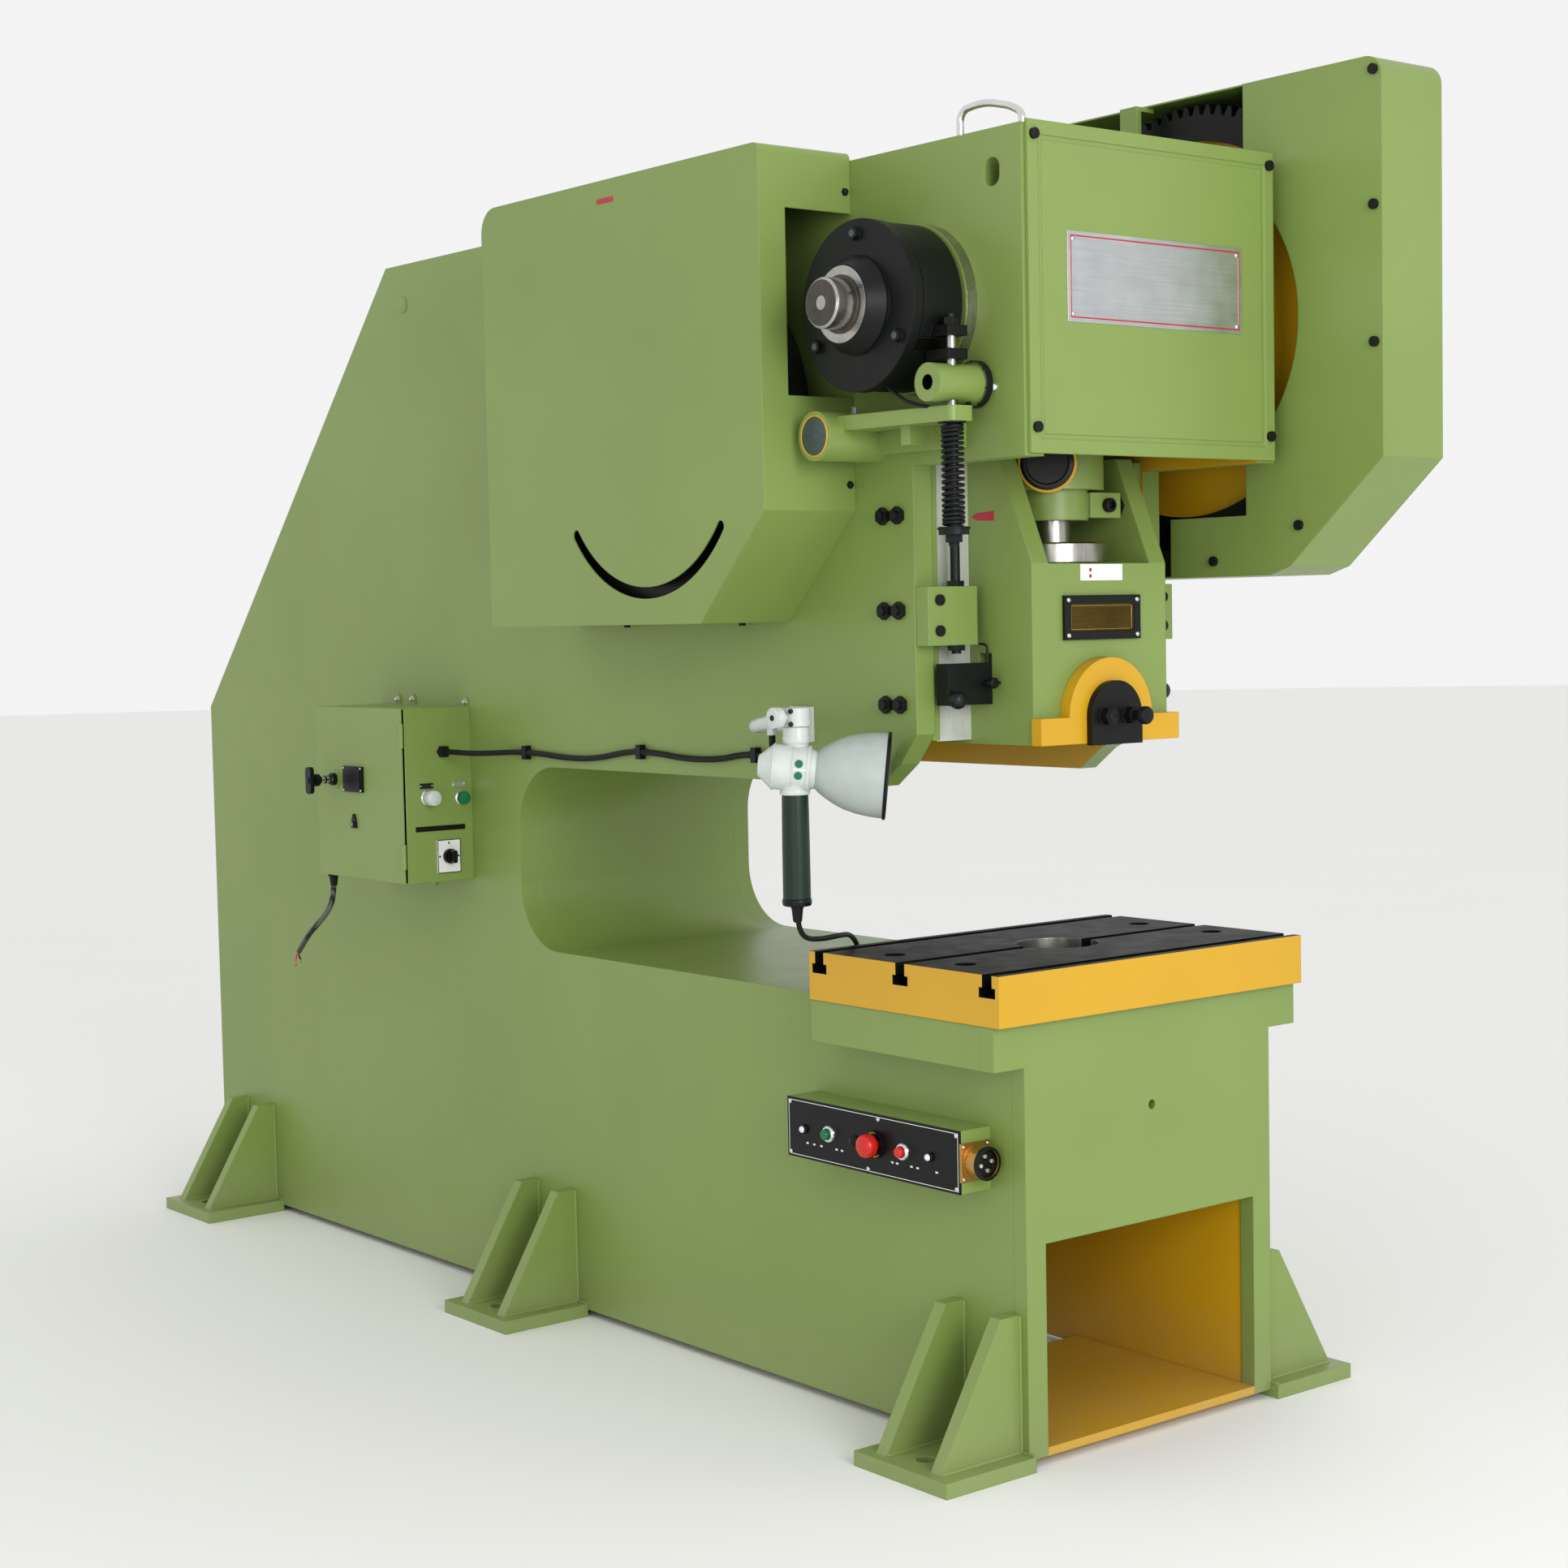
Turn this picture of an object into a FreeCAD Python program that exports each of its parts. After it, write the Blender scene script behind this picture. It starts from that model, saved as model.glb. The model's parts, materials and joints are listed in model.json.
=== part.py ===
"""Deep-throat crank press: a welded C-frame with a geared crank drive, a guided ram and a fixed table.

Millimetres. X runs to the operator's right, Y from the table's front edge to the back and Z up from the
frame's underside. save() then shifts every piece to the row frame, whose origin is on the floor in the
middle of the anchor bolts.
"""
import math
import os

import FreeCAD, Part
from FreeCAD import Vector

# ---------------------------------------------------------------- frame
HALF_WIDTH = 288.0          # outer face of a side plate
PLATE = 40.0                # side plate thickness
LINER = 30.0                # throat, front and back plate thickness
FRONT_Y = 16.0              # front plate face
REAR_Y = 2800.0
REAR_KNEE_Z = 1159.0        # where the back starts to slant
TOP_Z = 2092.0
TOP_REAR_Y = 1917.0
THROAT_FLOOR_Z = 697.0
THROAT_CEILING_Z = 1060.0
THROAT_BACK_Y = 1455.0
THROAT_RADIUS = 125.0
ARM_FRONT_Y = 256.0         # front edge of the cheeks that flank the ram
ARM_NOSE = (93.0, 41.0)     # how far the two lower nose corners stand behind that edge
NOSE_Z = (1098.0, 1148.0)
RIGHT_NOSE_SETBACK = 70.0
HEAD_FRONT_Y = -6.0
HEAD_FLOOR_Z = 1584.0
COVER_THICK = 8.0
BED_HALF_WIDTH = 353.0
BED_BOTTOM_Z = 629.0
FRAME_LIFT = 14.0           # frame underside above the floor
CHUTE_HALF_WIDTH = 246.0
CHUTE_TOP_Z = 343.0
CHUTE_FLOOR = 14.0
CHUTE_FLOOR_LENGTH = 430.0

# ---------------------------------------------------------------- feet
FOOT_PITCH = 1254.0
FOOT_CENTRE_Y = 1364.0      # middle feet, and the origin
FOOT_LENGTH = 220.0
FOOT_REACH = 192.0          # from the side plate out to the foot's edge
FOOT_THICK = 25.0
FOOT_GUSSET = 25.0
FOOT_GUSSET_Z = 233.0
FOOT_GUSSET_TOP = 42.0
FOOT_GUSSET_EDGE = 18.0     # ledge left outside a gusset
FOOT_GUSSET_SPREAD = 130.0
ANCHOR_REACH = 135.0        # anchor hole from the side plate
ANCHOR_R = 16.0

# ---------------------------------------------------------------- table
TABLE_HALF_WIDTH = 355.0
TABLE_DEPTH = 464.0
TABLE_TOP_Z = 782.0
TABLE_THICK = 82.0
TABLE_BORE_R = 70.0
BED_BORE_R = 85.0
TSLOT_PITCH = 205.0
TSLOT_NECK = 22.0
TSLOT_HEAD = 37.0
TSLOT_NECK_DEPTH = 20.0
TSLOT_HEAD_DEPTH = 16.0
TABLE_BOLT_R = 10.0
TABLE_BOLT_X = 290.0
TABLE_BOLT_Y = 60.0         # from the table's front and back edges

# ---------------------------------------------------------------- crank, gears and drive
RAM_Y = TABLE_DEPTH / 2     # ram and crank axis stand over the table's middle
CRANK_Z = 1830.0
STROKE = 100.0
GEAR_MODULE = 8.0
GEAR_TEETH = 95
PINION_TEETH = 37
DRIVE_SHAFT_Y = 730.0
GEAR_FACE = 90.0
GEAR_IN_X = 336.0           # gear's inner side face
RUNNING = 0.05              # radial running clearance of shafts
SIDE_GAP = 0.5              # end float between turning and still pieces
SEAT = 0.3                  # between bodies that lie beside each other
JOURNAL_R = 60.0
BUSH_R = 78.0
BUSH_FLANGE_R = 135.0
BUSH_FLANGE = 22.0
PIN_R = 70.0
PIN_LENGTH = 150.0
WEB_THICK = 45.0
SHAFT_R = 38.0
BEARING_R = 70.0
FLYWHEEL_R = 300.0
FLYWHEEL_WIDTH = 100.0
BELT_COUNT = 3
BELT_PITCH = 25.0
BELT_WIDTH = 17.0
BELT_DEPTH = 12.0
MOTOR_Y = 1085.0
MOTOR_Z = 1905.0
MOTOR_R = 125.0
MOTOR_LENGTH = 330.0
MOTOR_SHAFT_R = 19.0
PULLEY_R = 62.0

# ---------------------------------------------------------------- ram and connecting rod
RAM_HALF_WIDTH = 156.0
RAM_FRONT_Y = 120.0
RAM_REAR_Y = 350.0
RAM_BOTTOM_Z = 1127.0
RAM_FACE_TOP_Z = 1422.0     # top of the flat front face
RAM_TOP_Z = 1600.0
RAM_SLOPE_Y = 196.0         # front edge of the side walls at their top
RAM_WALL = 38.0
RAM_BACK_WALL = 24.0
EAR_HALF_WIDTH = 232.0
EAR_FRONT_Y = 270.0
SHANK_R = 25.0
SHANK_DEPTH = 64.0
CAP_ARCH_R = 96.0
CAP_ARCH_Z = 1171.0
CAP_HALF_WIDTH = 161.0
CAP_OUT = 23.0              # how far the clamp cap stands in front of the ram
CAP_STRIP_Z = 1171.0
PLATE_ARCH_R = 58.0
PLATE_OUT = 14.0
NUT_R = 92.0
NUT_HEIGHT = 36.0
SCREW_R = 32.0
BALL_R = 50.0
BALL_Z = 1385.0
KNOCKOUT_Z = 1228.0
KNOCKOUT_HEIGHT = 68.0
KNOCKOUT_THICK = 30.0
KNOCKOUT_TRAVEL = 15.0
KNOCKOUT_OUT = 96.0         # how far the bar stands out of each side of the ram

# ---------------------------------------------------------------- brake on the left crank end
DRUM_R = 122.0
BAND_THICK = 4.0
LINING_THICK = 6.0
DRUM_LEFT_X = -400.0
DRUM_RIGHT_X = -316.0
DISC_R = 135.0
DISC_THICK = 20.0
BRAKE_ROD_X = -355.0
BRAKE_ROD_Y = 86.0
BRAKE_ROD_R = 8.0
TUBE_BOSS = (92.0, 1700.0, 30.0)
LEVER_BOSS = (341.0, 1633.0, 40.0)
LEVER_LEFT_X = -423.0
LEVER_Z = 1652.0
LEVER_THICK = 24.0
HUB_R = 78.0
HUB_OUT = 34.0
STUB_R = 40.0
BAND_GAP_Z = (1752.0, 1772.0)
ROD_TIP_Z = 1448.0
SPRING_Z = (1478.0, 1638.0)
SPRING_R = 19.0

# ---------------------------------------------------------------- guards
SHEET = 3.0
GUARD_LEFT_X = -482.0
GUARD_Y = (400.0, 1230.0)
GUARD_Z = (1335.0, 2105.0)
GUARD_CHAMFER = (179.0, 182.0)
WINDOW_X = (-427.0, -287.0)
WINDOW_Z = (1703.0, 2005.0)
VENT_R = 265.0
VENT_WIDTH = 20.0
VENT_ANGLE = 53.0
GEAR_GUARD_X = (312.0, 466.0)
GEAR_GUARD_Z = (1398.0, 2228.0)
GEAR_GUARD_Y = (-216.0, 960.0)
GEAR_GUARD_LIP = (77.0, 1501.0, 252.0)
GEAR_GUARD_CUT_R = 272.0
GUARD_BRACKET_Y = (300.0, 580.0)

# ---------------------------------------------------------------- electrics
BOX_X = (-443.0, -288.0)
BOX_Y = (1630.0, 1990.0)
BOX_Z = (822.0, 1176.0)
CONSOLE_X = -352.0
CONSOLE_Y = (95.0, 530.0)
CONSOLE_Z = (425.0, 527.0)
LAMP_AT = Vector(-452, 372, 1098)
LAMP_AIM = Vector(0.745, -0.66, -0.1)
SHADE_LENGTH = 118.0
SHADE_R = 70.0
HANDLE_R = 24.0
HANDLE_TOP_Z = 1058.0
HANDLE_BOTTOM_Z = 873.0

# ---------------------------------------------------------------- seams, screws and small clearances
FIT = 0.2                   # between pieces of one body
BED_TOP_Z = TABLE_TOP_Z - TABLE_THICK
TABLE_BOLT_GRIP = 40.0
TABLE_BOLT_SINK = 24.0
LINER_END_Y = 900.0         # front end of the throat's ceiling plate
TOP_SEAM_Y = 1880.0
ARM_WALL_Y = RAM_REAR_Y + 25.0
ARM_WALL_Z = (1165.0, 1610.0)
FRONT_HOLE_Z = 534.0
FRONT_HOLE_R = 8.0
COVER_HALF_WIDTH = 282.0
COVER_Z = (1588.0, 2096.0)
COVER_RIM = 22.0
COVER_SCREW_R = 5.0
COVER_SCREW_HEAD = 6.0
GUARD_SCREWS = ((-200.0, 2205.0), (-200.0, 1990.0), (-200.0, 1770.0), (-40.0, 1480.0), (150.0, 1425.0))
BEARING_FLANGE = 14.0
GIB_Z = (1136.0, 1600.0)
GIB_SCREW_R = 8.0
GIB_SCREW_PITCH = 36.0
GIB_SCREW_Z = (1196.0, 1350.0, 1505.0)
STOP_X = (178.0, 286.0)
STOP_FRONT_Y = 226.0
STOP_Z = (1292.0, 1388.0)
STOP_BOLT_X = 262.0
STOP_BOLT_Z = (1316.0, 1366.0)
STOP_SCREW_X = 215.0
STOP_SCREW_Y = 238.0
STOP_SCREW_R = 8.0
STOP_ROD_TOP_Z = 1485.0
STOP_TIP_Z = KNOCKOUT_Z + KNOCKOUT_HEIGHT / 2 + KNOCKOUT_TRAVEL + 1.0
CAP_BACK_Y = RAM_Y - KNOCKOUT_THICK / 2 - 12
CAP_BLOCK = 45.0            # half-width of the clamp's block round the shank
CLAMP_BOLT_X = 27.0
CLAMP_BOLT_R = 9.0
ROD_CLAMP_Z = (1495.0, 1545.0)
ROD_CLAMP_R = 62.0
ROD_R = 88.0
PIN_LIFT = 12.0             # room above and below the crank pin in the big end
BIG_END_WALL = 24.0

# ---------------------------------------------------------------- crank ends, gear body and motor
CRANK_LEFT_X = DRUM_LEFT_X - DISC_THICK - HUB_OUT
STUB_X = CRANK_LEFT_X - 40.0
CRANK_RIGHT_X = GEAR_IN_X + GEAR_FACE + 20.0
WEB_HALF = 95.0
BACKLASH = 0.06             # share of the tooth thickness left free
ADDENDUM = 0.9
GEAR_RIM = 55.0             # from the pitch circle in to the web
GEAR_RECESS = 26.0
GEAR_HUB_R = 115.0
SHAFT_LEFT_X = -465.0
FLYWHEEL_X = (-455.0, -455.0 + FLYWHEEL_WIDTH)
MOTOR_LEFT_X = -160.0

# ---------------------------------------------------------------- box, console, lamp and cables
DOOR_THICK = 2.0
HINGE_R = 5.0
HANDLE_AT = (1912.0, 1025.0)
STOP_BUTTON = (-392.0, 994.0, 16.0)
START_BUTTON = (-314.0, 990.0, 13.0)
SELECTOR = (-348.0, 873.0, 15.0)
BUTTON_TRAVEL = 4.0
EMERGENCY = (302.0, 476.0, 19.5)
RUN_BUTTON = (418.0, 477.0, 9.0)
INCH_BUTTON = (230.0, 475.0, 9.5)
SOCKET = (-325.0, 476.0, 27.0)
CABLE_R = 4.5
CABLE_X = -HALF_WIDTH - CABLE_R - 1.5
GLAND = (-357.0, 1086.0)
CLIP_Y = (1413.0, 1024.0, 676.0)
CLIP_Z = (1087.0, 1099.0, 1103.0)
CLIP_RUN = 40.0             # straight run of cable each side of a clip
LAMP_PLATE_Y = (520.0, 580.0)
LAMP_PLATE_Z = (1130.0, 1190.0)
LAMP_JOINT = (-445.0, 375.0, 1160.0)
LAMP_GLAND = (438.0, 1150.0)    # where the cable enters the arm from below
OIL_PIPE_R = 6.0
SUPPLY_R = 6.0
LEAD_GLAND = (-196.0, 517.0, 14.0)  # where the lamp's cord enters the bed behind the table, and its height

DRIVE_SHAFT_Z = CRANK_Z - math.sqrt(
    (GEAR_MODULE * (GEAR_TEETH + PINION_TEETH) / 2) ** 2 - (DRIVE_SHAFT_Y - RAM_Y) ** 2)
INNER = HALF_WIDTH - PLATE
THROW = STROKE / 2
PIN_Z = CRANK_Z + THROW     # the crank stands at top dead centre
ORIGIN = Vector(0, -FOOT_CENTRE_Y, FRAME_LIFT)


# ================================================================ helpers
def box(x0, x1, y0, y1, z0, z1):
    low = Vector(min(x0, x1), min(y0, y1), min(z0, z1))
    return Part.makeBox(abs(x1 - x0), abs(y1 - y0), abs(z1 - z0), low)


def rod_x(x0, x1, y, z, r):
    return Part.makeCylinder(r, abs(x1 - x0), Vector(min(x0, x1), y, z), Vector(1, 0, 0))


def rod_y(y0, y1, x, z, r):
    return Part.makeCylinder(r, abs(y1 - y0), Vector(x, min(y0, y1), z), Vector(0, 1, 0))


def rod_z(z0, z1, x, y, r):
    return Part.makeCylinder(r, abs(z1 - z0), Vector(x, y, min(z0, z1)), Vector(0, 0, 1))


def ring_x(x0, x1, y, z, r_out, r_in):
    return rod_x(x0, x1, y, z, r_out).cut(rod_x(x0 - 1, x1 + 1, y, z, r_in))


def hex_rod(start, axis, across, length):
    """Hexagonal prism, such as a bolt head, from start along axis."""
    r = across / math.sqrt(3)
    points = [Vector(r * math.cos(i * math.pi / 3), r * math.sin(i * math.pi / 3), 0) for i in range(7)]
    prism = Part.Face(Part.makePolygon(points)).extrude(Vector(0, 0, length))
    return prism_to(prism, start, axis)


def prism_to(shape, start, axis):
    """Turns a shape made along +Z at the origin to start, along axis."""
    turned = shape.copy()
    turned.Placement = FreeCAD.Placement(start, FreeCAD.Rotation(Vector(0, 0, 1), axis))
    return turned


def outline(points):
    """Closed wire through (a, b) or (a, b, corner radius) points, as 2-D vectors (a, b, 0)."""
    corners = [(Vector(p[0], p[1], 0), p[2] if len(p) > 2 else 0.0) for p in points]
    ends = []
    count = len(corners)
    for i, (here, radius) in enumerate(corners):
        before = (corners[i - 1][0] - here).normalize()
        after = (corners[(i + 1) % count][0] - here).normalize()
        if radius == 0:
            ends.append((here, None, here))
            continue
        half = before.getAngle(after) / 2
        back = radius / math.tan(half)
        middle = (before + after).normalize()
        top = here + middle * (radius / math.sin(half) - radius)
        ends.append((here + before * back, top, here + after * back))
    edges = []
    for i, (start, top, end) in enumerate(ends):
        if top is not None:
            edges.append(Part.Arc(start, top, end).toShape())
        following = ends[(i + 1) % count][0]
        if end.distanceToPoint(following) > 1e-6:
            edges.append(Part.LineSegment(end, following).toShape())
    return Part.Wire(edges)


def slab_x(points, x0, x1):
    """Outline of (y, z) points, extruded along X."""
    shape = Part.Face(outline(points)).extrude(Vector(0, 0, abs(x1 - x0)))
    # local X, Y, Z become row Y, Z, X
    turned = shape.copy()
    turned.Placement = FreeCAD.Placement(FreeCAD.Matrix(0, 0, 1, min(x0, x1), 1, 0, 0, 0, 0, 1, 0, 0))
    return turned


def slab_y(points, y0, y1):
    """Outline of (x, z) points, extruded along Y."""
    shape = Part.Face(outline(points)).extrude(Vector(0, 0, -abs(y1 - y0)))
    placed = shape.copy()
    placed.Placement = FreeCAD.Placement(
        Vector(0, min(y0, y1), 0), FreeCAD.Rotation(Vector(1, 0, 0), 90))
    return placed


def slab_z(points, z0, z1):
    """Outline of (x, y) points, extruded along Z."""
    shape = Part.Face(outline(points)).extrude(Vector(0, 0, abs(z1 - z0)))
    shape.translate(Vector(0, 0, min(z0, z1)))
    return shape


def spin_x(profile, x, y, z):
    """Solid of revolution about an X axis through (y, z); profile is (distance along X, radius) points."""
    points = [Vector(x + a, y, z + r) for a, r in profile]
    face = Part.Face(Part.makePolygon(points + [points[0]]))
    return face.revolve(Vector(x, y, z), Vector(1, 0, 0), 360)


def tube(points, radius, slack=0.45):
    """Round bar along straight runs joined by tangent arcs; prints the bend radii."""
    corners = [Vector(*p) for p in points]
    edges = []
    radii = []
    here = corners[0]
    for before, corner, after in zip(corners, corners[1:], corners[2:]):
        back = (before - corner).normalize()
        ahead = (after - corner).normalize()
        half_turn = (math.pi - back.getAngle(ahead)) / 2
        reach = slack * min(before.distanceToPoint(corner), corner.distanceToPoint(after))
        bend = reach / math.tan(half_turn)
        radii.append(round(bend, 1))
        start = corner + back * reach
        end = corner + ahead * reach
        centre_way = (back + ahead).normalize()
        top = corner + centre_way * (bend / math.cos(half_turn) - bend)
        edges.append(Part.LineSegment(here, start).toShape())
        edges.append(Part.Arc(start, top, end).toShape())
        here = end
    edges.append(Part.LineSegment(here, corners[-1]).toShape())
    path = Part.Wire(edges)
    profile = Part.Wire(Part.Circle(corners[0], corners[1] - corners[0], radius).toShape())
    swept = path.makePipeShell([profile], True, True)
    ideal = math.pi * radius ** 2 * path.Length
    print("tube radii", radii, "volume ratio", round(swept.Volume / ideal, 4))
    return swept


def save(node, *solids):
    """Writes one node, shifted to the row frame."""
    pieces = []
    for shape in solids:
        pieces.extend(shape.Solids)
    moved = Part.makeCompound([piece.translated(ORIGIN) for piece in pieces])
    if not all(piece.isValid() for piece in pieces):
        print("INVALID", node)
    moved.exportStep(f"parts/{node}.step")
    print(node, len(pieces), round(moved.Volume / 1000))


# ================================================================ frame
def frame_outline(setback=0.0):
    """Side view of the frame; setback moves the nose back."""
    return [
        (FRONT_Y + LINER, 0), (FRONT_Y + LINER, BED_BOTTOM_Z), (TABLE_DEPTH, BED_BOTTOM_Z),
        (TABLE_DEPTH, THROAT_FLOOR_Z), (THROAT_BACK_Y, THROAT_FLOOR_Z, THROAT_RADIUS),
        (THROAT_BACK_Y, THROAT_CEILING_Z, THROAT_RADIUS),
        (ARM_FRONT_Y + ARM_NOSE[0] + setback, THROAT_CEILING_Z),
        (ARM_FRONT_Y + ARM_NOSE[1] + setback, NOSE_Z[0]), (ARM_FRONT_Y, NOSE_Z[1]),
        (ARM_FRONT_Y, HEAD_FLOOR_Z), (HEAD_FRONT_Y, HEAD_FLOOR_Z), (HEAD_FRONT_Y, TOP_Z),
        (TOP_REAR_Y, TOP_Z), (REAR_Y, REAR_KNEE_Z), (REAR_Y, 0)]


def side_plate(sign):
    """One C-shaped cheek with its bearing, lifting and gib screw holes."""
    inner = sign * INNER
    outer = sign * HALF_WIDTH
    setback = RIGHT_NOSE_SETBACK if sign > 0 else 0.0
    plate = slab_x(frame_outline(setback), inner, outer)
    low = min(inner, outer) - 1
    high = max(inner, outer) + 1
    cuts = [rod_x(low, high, RAM_Y, CRANK_Z, BUSH_R),
            rod_x(low, high, DRIVE_SHAFT_Y, DRIVE_SHAFT_Z, BEARING_R)]
    lift = [(y, z, 16) for y, z in ((43, 2003), (77, 2003), (77, 2047), (43, 2047))]
    cuts.append(slab_x(lift, low, high))
    cuts += [rod_x(low, high, y, z, GIB_SCREW_R) for y, z in gib_screw_places()]
    if sign < 0:
        cuts.append(rod_x(low, high, MOTOR_Y, MOTOR_Z, MOTOR_SHAFT_R + 11))
    return plate.cut(Part.makeCompound(cuts))


def frame_walls():
    """Plates between the cheeks: throat liner, top, back, arm wall and the bed under the table."""
    outer = Part.Wire(outline(frame_outline()))
    inner = outer.makeOffset2D(-LINER)
    skin = Part.Face(outer).cut(Part.Face(inner)).extrude(Vector(0, 0, 2 * INNER))
    skin.Placement = FreeCAD.Placement(FreeCAD.Matrix(0, 0, 1, -INNER, 1, 0, 0, 0, 0, 1, 0, 0))
    wide = INNER + 1
    throat = skin.common(box(-wide, wide, TABLE_DEPTH, THROAT_BACK_Y + LINER + 1, THROAT_FLOOR_Z - LINER - 1,
                             THROAT_CEILING_Z + LINER + 1))
    throat = throat.cut(box(-wide, wide, 0, LINER_END_Y, THROAT_CEILING_Z - 100, TOP_Z))
    back = skin.common(box(-wide, wide, TOP_SEAM_Y, REAR_Y + 1, -1, TOP_Z + 1))
    top = box(-INNER, INNER, HEAD_FRONT_Y, TOP_SEAM_Y, TOP_Z - LINER, TOP_Z)
    arm = box(-INNER, INNER, ARM_WALL_Y, ARM_WALL_Y + LINER, ARM_WALL_Z[0], ARM_WALL_Z[1])
    bed = box(-BED_HALF_WIDTH, BED_HALF_WIDTH, FRONT_Y + LINER, TABLE_DEPTH, BED_BOTTOM_Z, BED_TOP_Z)
    bed = bed.cut(rod_z(BED_BOTTOM_Z - 1, BED_TOP_Z + 1, 0, RAM_Y, BED_BORE_R))
    for x, y in table_bolt_places():
        bed = bed.cut(rod_z(BED_TOP_Z - TABLE_BOLT_GRIP, BED_TOP_Z + 1, x, y, TABLE_BOLT_R))
    return throat, back, top, arm, bed


def front_plate():
    """T-shaped front: wide under the table, with the chute opening between its legs."""
    shape = [(-HALF_WIDTH, 0), (-HALF_WIDTH, BED_BOTTOM_Z), (-BED_HALF_WIDTH, BED_BOTTOM_Z),
             (-BED_HALF_WIDTH, BED_TOP_Z), (BED_HALF_WIDTH, BED_TOP_Z), (BED_HALF_WIDTH, BED_BOTTOM_Z),
             (HALF_WIDTH, BED_BOTTOM_Z), (HALF_WIDTH, 0), (CHUTE_HALF_WIDTH, 0),
             (CHUTE_HALF_WIDTH, CHUTE_TOP_Z), (-CHUTE_HALF_WIDTH, CHUTE_TOP_Z), (-CHUTE_HALF_WIDTH, 0)]
    plate = slab_y(shape, FRONT_Y, FRONT_Y + LINER)
    return plate.cut(rod_y(FRONT_Y - 1, FRONT_Y + LINER + 1, 0, FRONT_HOLE_Z, FRONT_HOLE_R))


def foot(sign, centre_y):
    """Base plate with two gussets, welded to a cheek."""
    wall = sign * HALF_WIDTH
    edge = sign * (HALF_WIDTH + FOOT_REACH)
    floor = -FRAME_LIFT
    shape = box(wall, edge, centre_y - FOOT_LENGTH / 2, centre_y + FOOT_LENGTH / 2, floor,
                floor + FOOT_THICK)
    anchor_x = sign * (HALF_WIDTH + ANCHOR_REACH)
    for side in (-1, 1):
        y = centre_y + side * FOOT_GUSSET_SPREAD / 2
        base = floor + FOOT_THICK - 1
        gusset = slab_y([(wall, base), (edge - sign * FOOT_GUSSET_EDGE, base),
                         (wall + sign * FOOT_GUSSET_TOP, FOOT_GUSSET_Z), (wall, FOOT_GUSSET_Z)],
                        y - FOOT_GUSSET / 2, y + FOOT_GUSSET / 2)
        shape = shape.fuse(gusset)
    shape = shape.removeSplitter()
    return shape.cut(rod_z(floor - 1, floor + FOOT_THICK + 1, anchor_x, centre_y, ANCHOR_R))


def head_cover():
    """Cover plate on the head, with a pressed panel and four screw holes."""
    face = HEAD_FRONT_Y - COVER_THICK
    plate = box(-COVER_HALF_WIDTH, COVER_HALF_WIDTH, face, HEAD_FRONT_Y, COVER_Z[0], COVER_Z[1])
    rim = COVER_RIM
    frame = box(-COVER_HALF_WIDTH + rim, COVER_HALF_WIDTH - rim, face - 1, face + 1.5, COVER_Z[0] + rim,
                COVER_Z[1] - rim)
    panel = box(-COVER_HALF_WIDTH + rim + 8, COVER_HALF_WIDTH - rim - 8, face - 1, face + 1.5,
                COVER_Z[0] + rim + 8, COVER_Z[1] - rim - 8)
    plate = plate.cut(frame.cut(panel))
    for x, z in cover_screw_places():
        plate = plate.cut(rod_y(face - 1, HEAD_FRONT_Y + 1, x, z, COVER_SCREW_R))
    return plate


def cover_screw_places():
    inset = COVER_HALF_WIDTH - 12
    return [(x, z) for x in (-inset, inset) for z in (COVER_Z[0] + 40, COVER_Z[1] - 22)]


def cover_screws():
    """Head cover screws and the screws in the gear guard's inner wall."""
    face = HEAD_FRONT_Y - COVER_THICK
    screws = []
    for x, z in cover_screw_places():
        screw = rod_y(face - COVER_SCREW_HEAD, face, x, z, COVER_SCREW_R + 3.5)
        screws.append(screw.fuse(rod_y(face, HEAD_FRONT_Y, x, z, COVER_SCREW_R)))
    wall = GEAR_GUARD_X[0]
    for y, z in GUARD_SCREWS:
        screws.append(rod_x(wall - COVER_SCREW_HEAD, wall, y, z, COVER_SCREW_R + 3.5))
    return screws


def crank_bush(sign):
    """Flanged bronze bush in a cheek."""
    outer = sign * HALF_WIDTH
    sleeve = ring_x(min(sign * INNER, outer), max(sign * INNER, outer), RAM_Y, CRANK_Z, BUSH_R,
                    JOURNAL_R + RUNNING)
    flange_end = outer + sign * BUSH_FLANGE
    flange = ring_x(min(outer, flange_end), max(outer, flange_end), RAM_Y, CRANK_Z, BUSH_FLANGE_R,
                    JOURNAL_R + RUNNING)
    return sleeve.fuse(flange).removeSplitter()


def shaft_bearing(sign):
    """Flanged bearing housing of the drive shaft; its flange lies inside the frame."""
    low = min(sign * INNER, sign * HALF_WIDTH)
    high = max(sign * INNER, sign * HALF_WIDTH)
    sleeve = ring_x(low, high, DRIVE_SHAFT_Y, DRIVE_SHAFT_Z, BEARING_R, SHAFT_R + RUNNING)
    rim = sign * (INNER - BEARING_FLANGE)
    flange = ring_x(min(rim, sign * INNER), max(rim, sign * INNER), DRIVE_SHAFT_Y, DRIVE_SHAFT_Z,
                    BEARING_R + 22, SHAFT_R + RUNNING)
    return sleeve.fuse(flange).removeSplitter()


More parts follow.
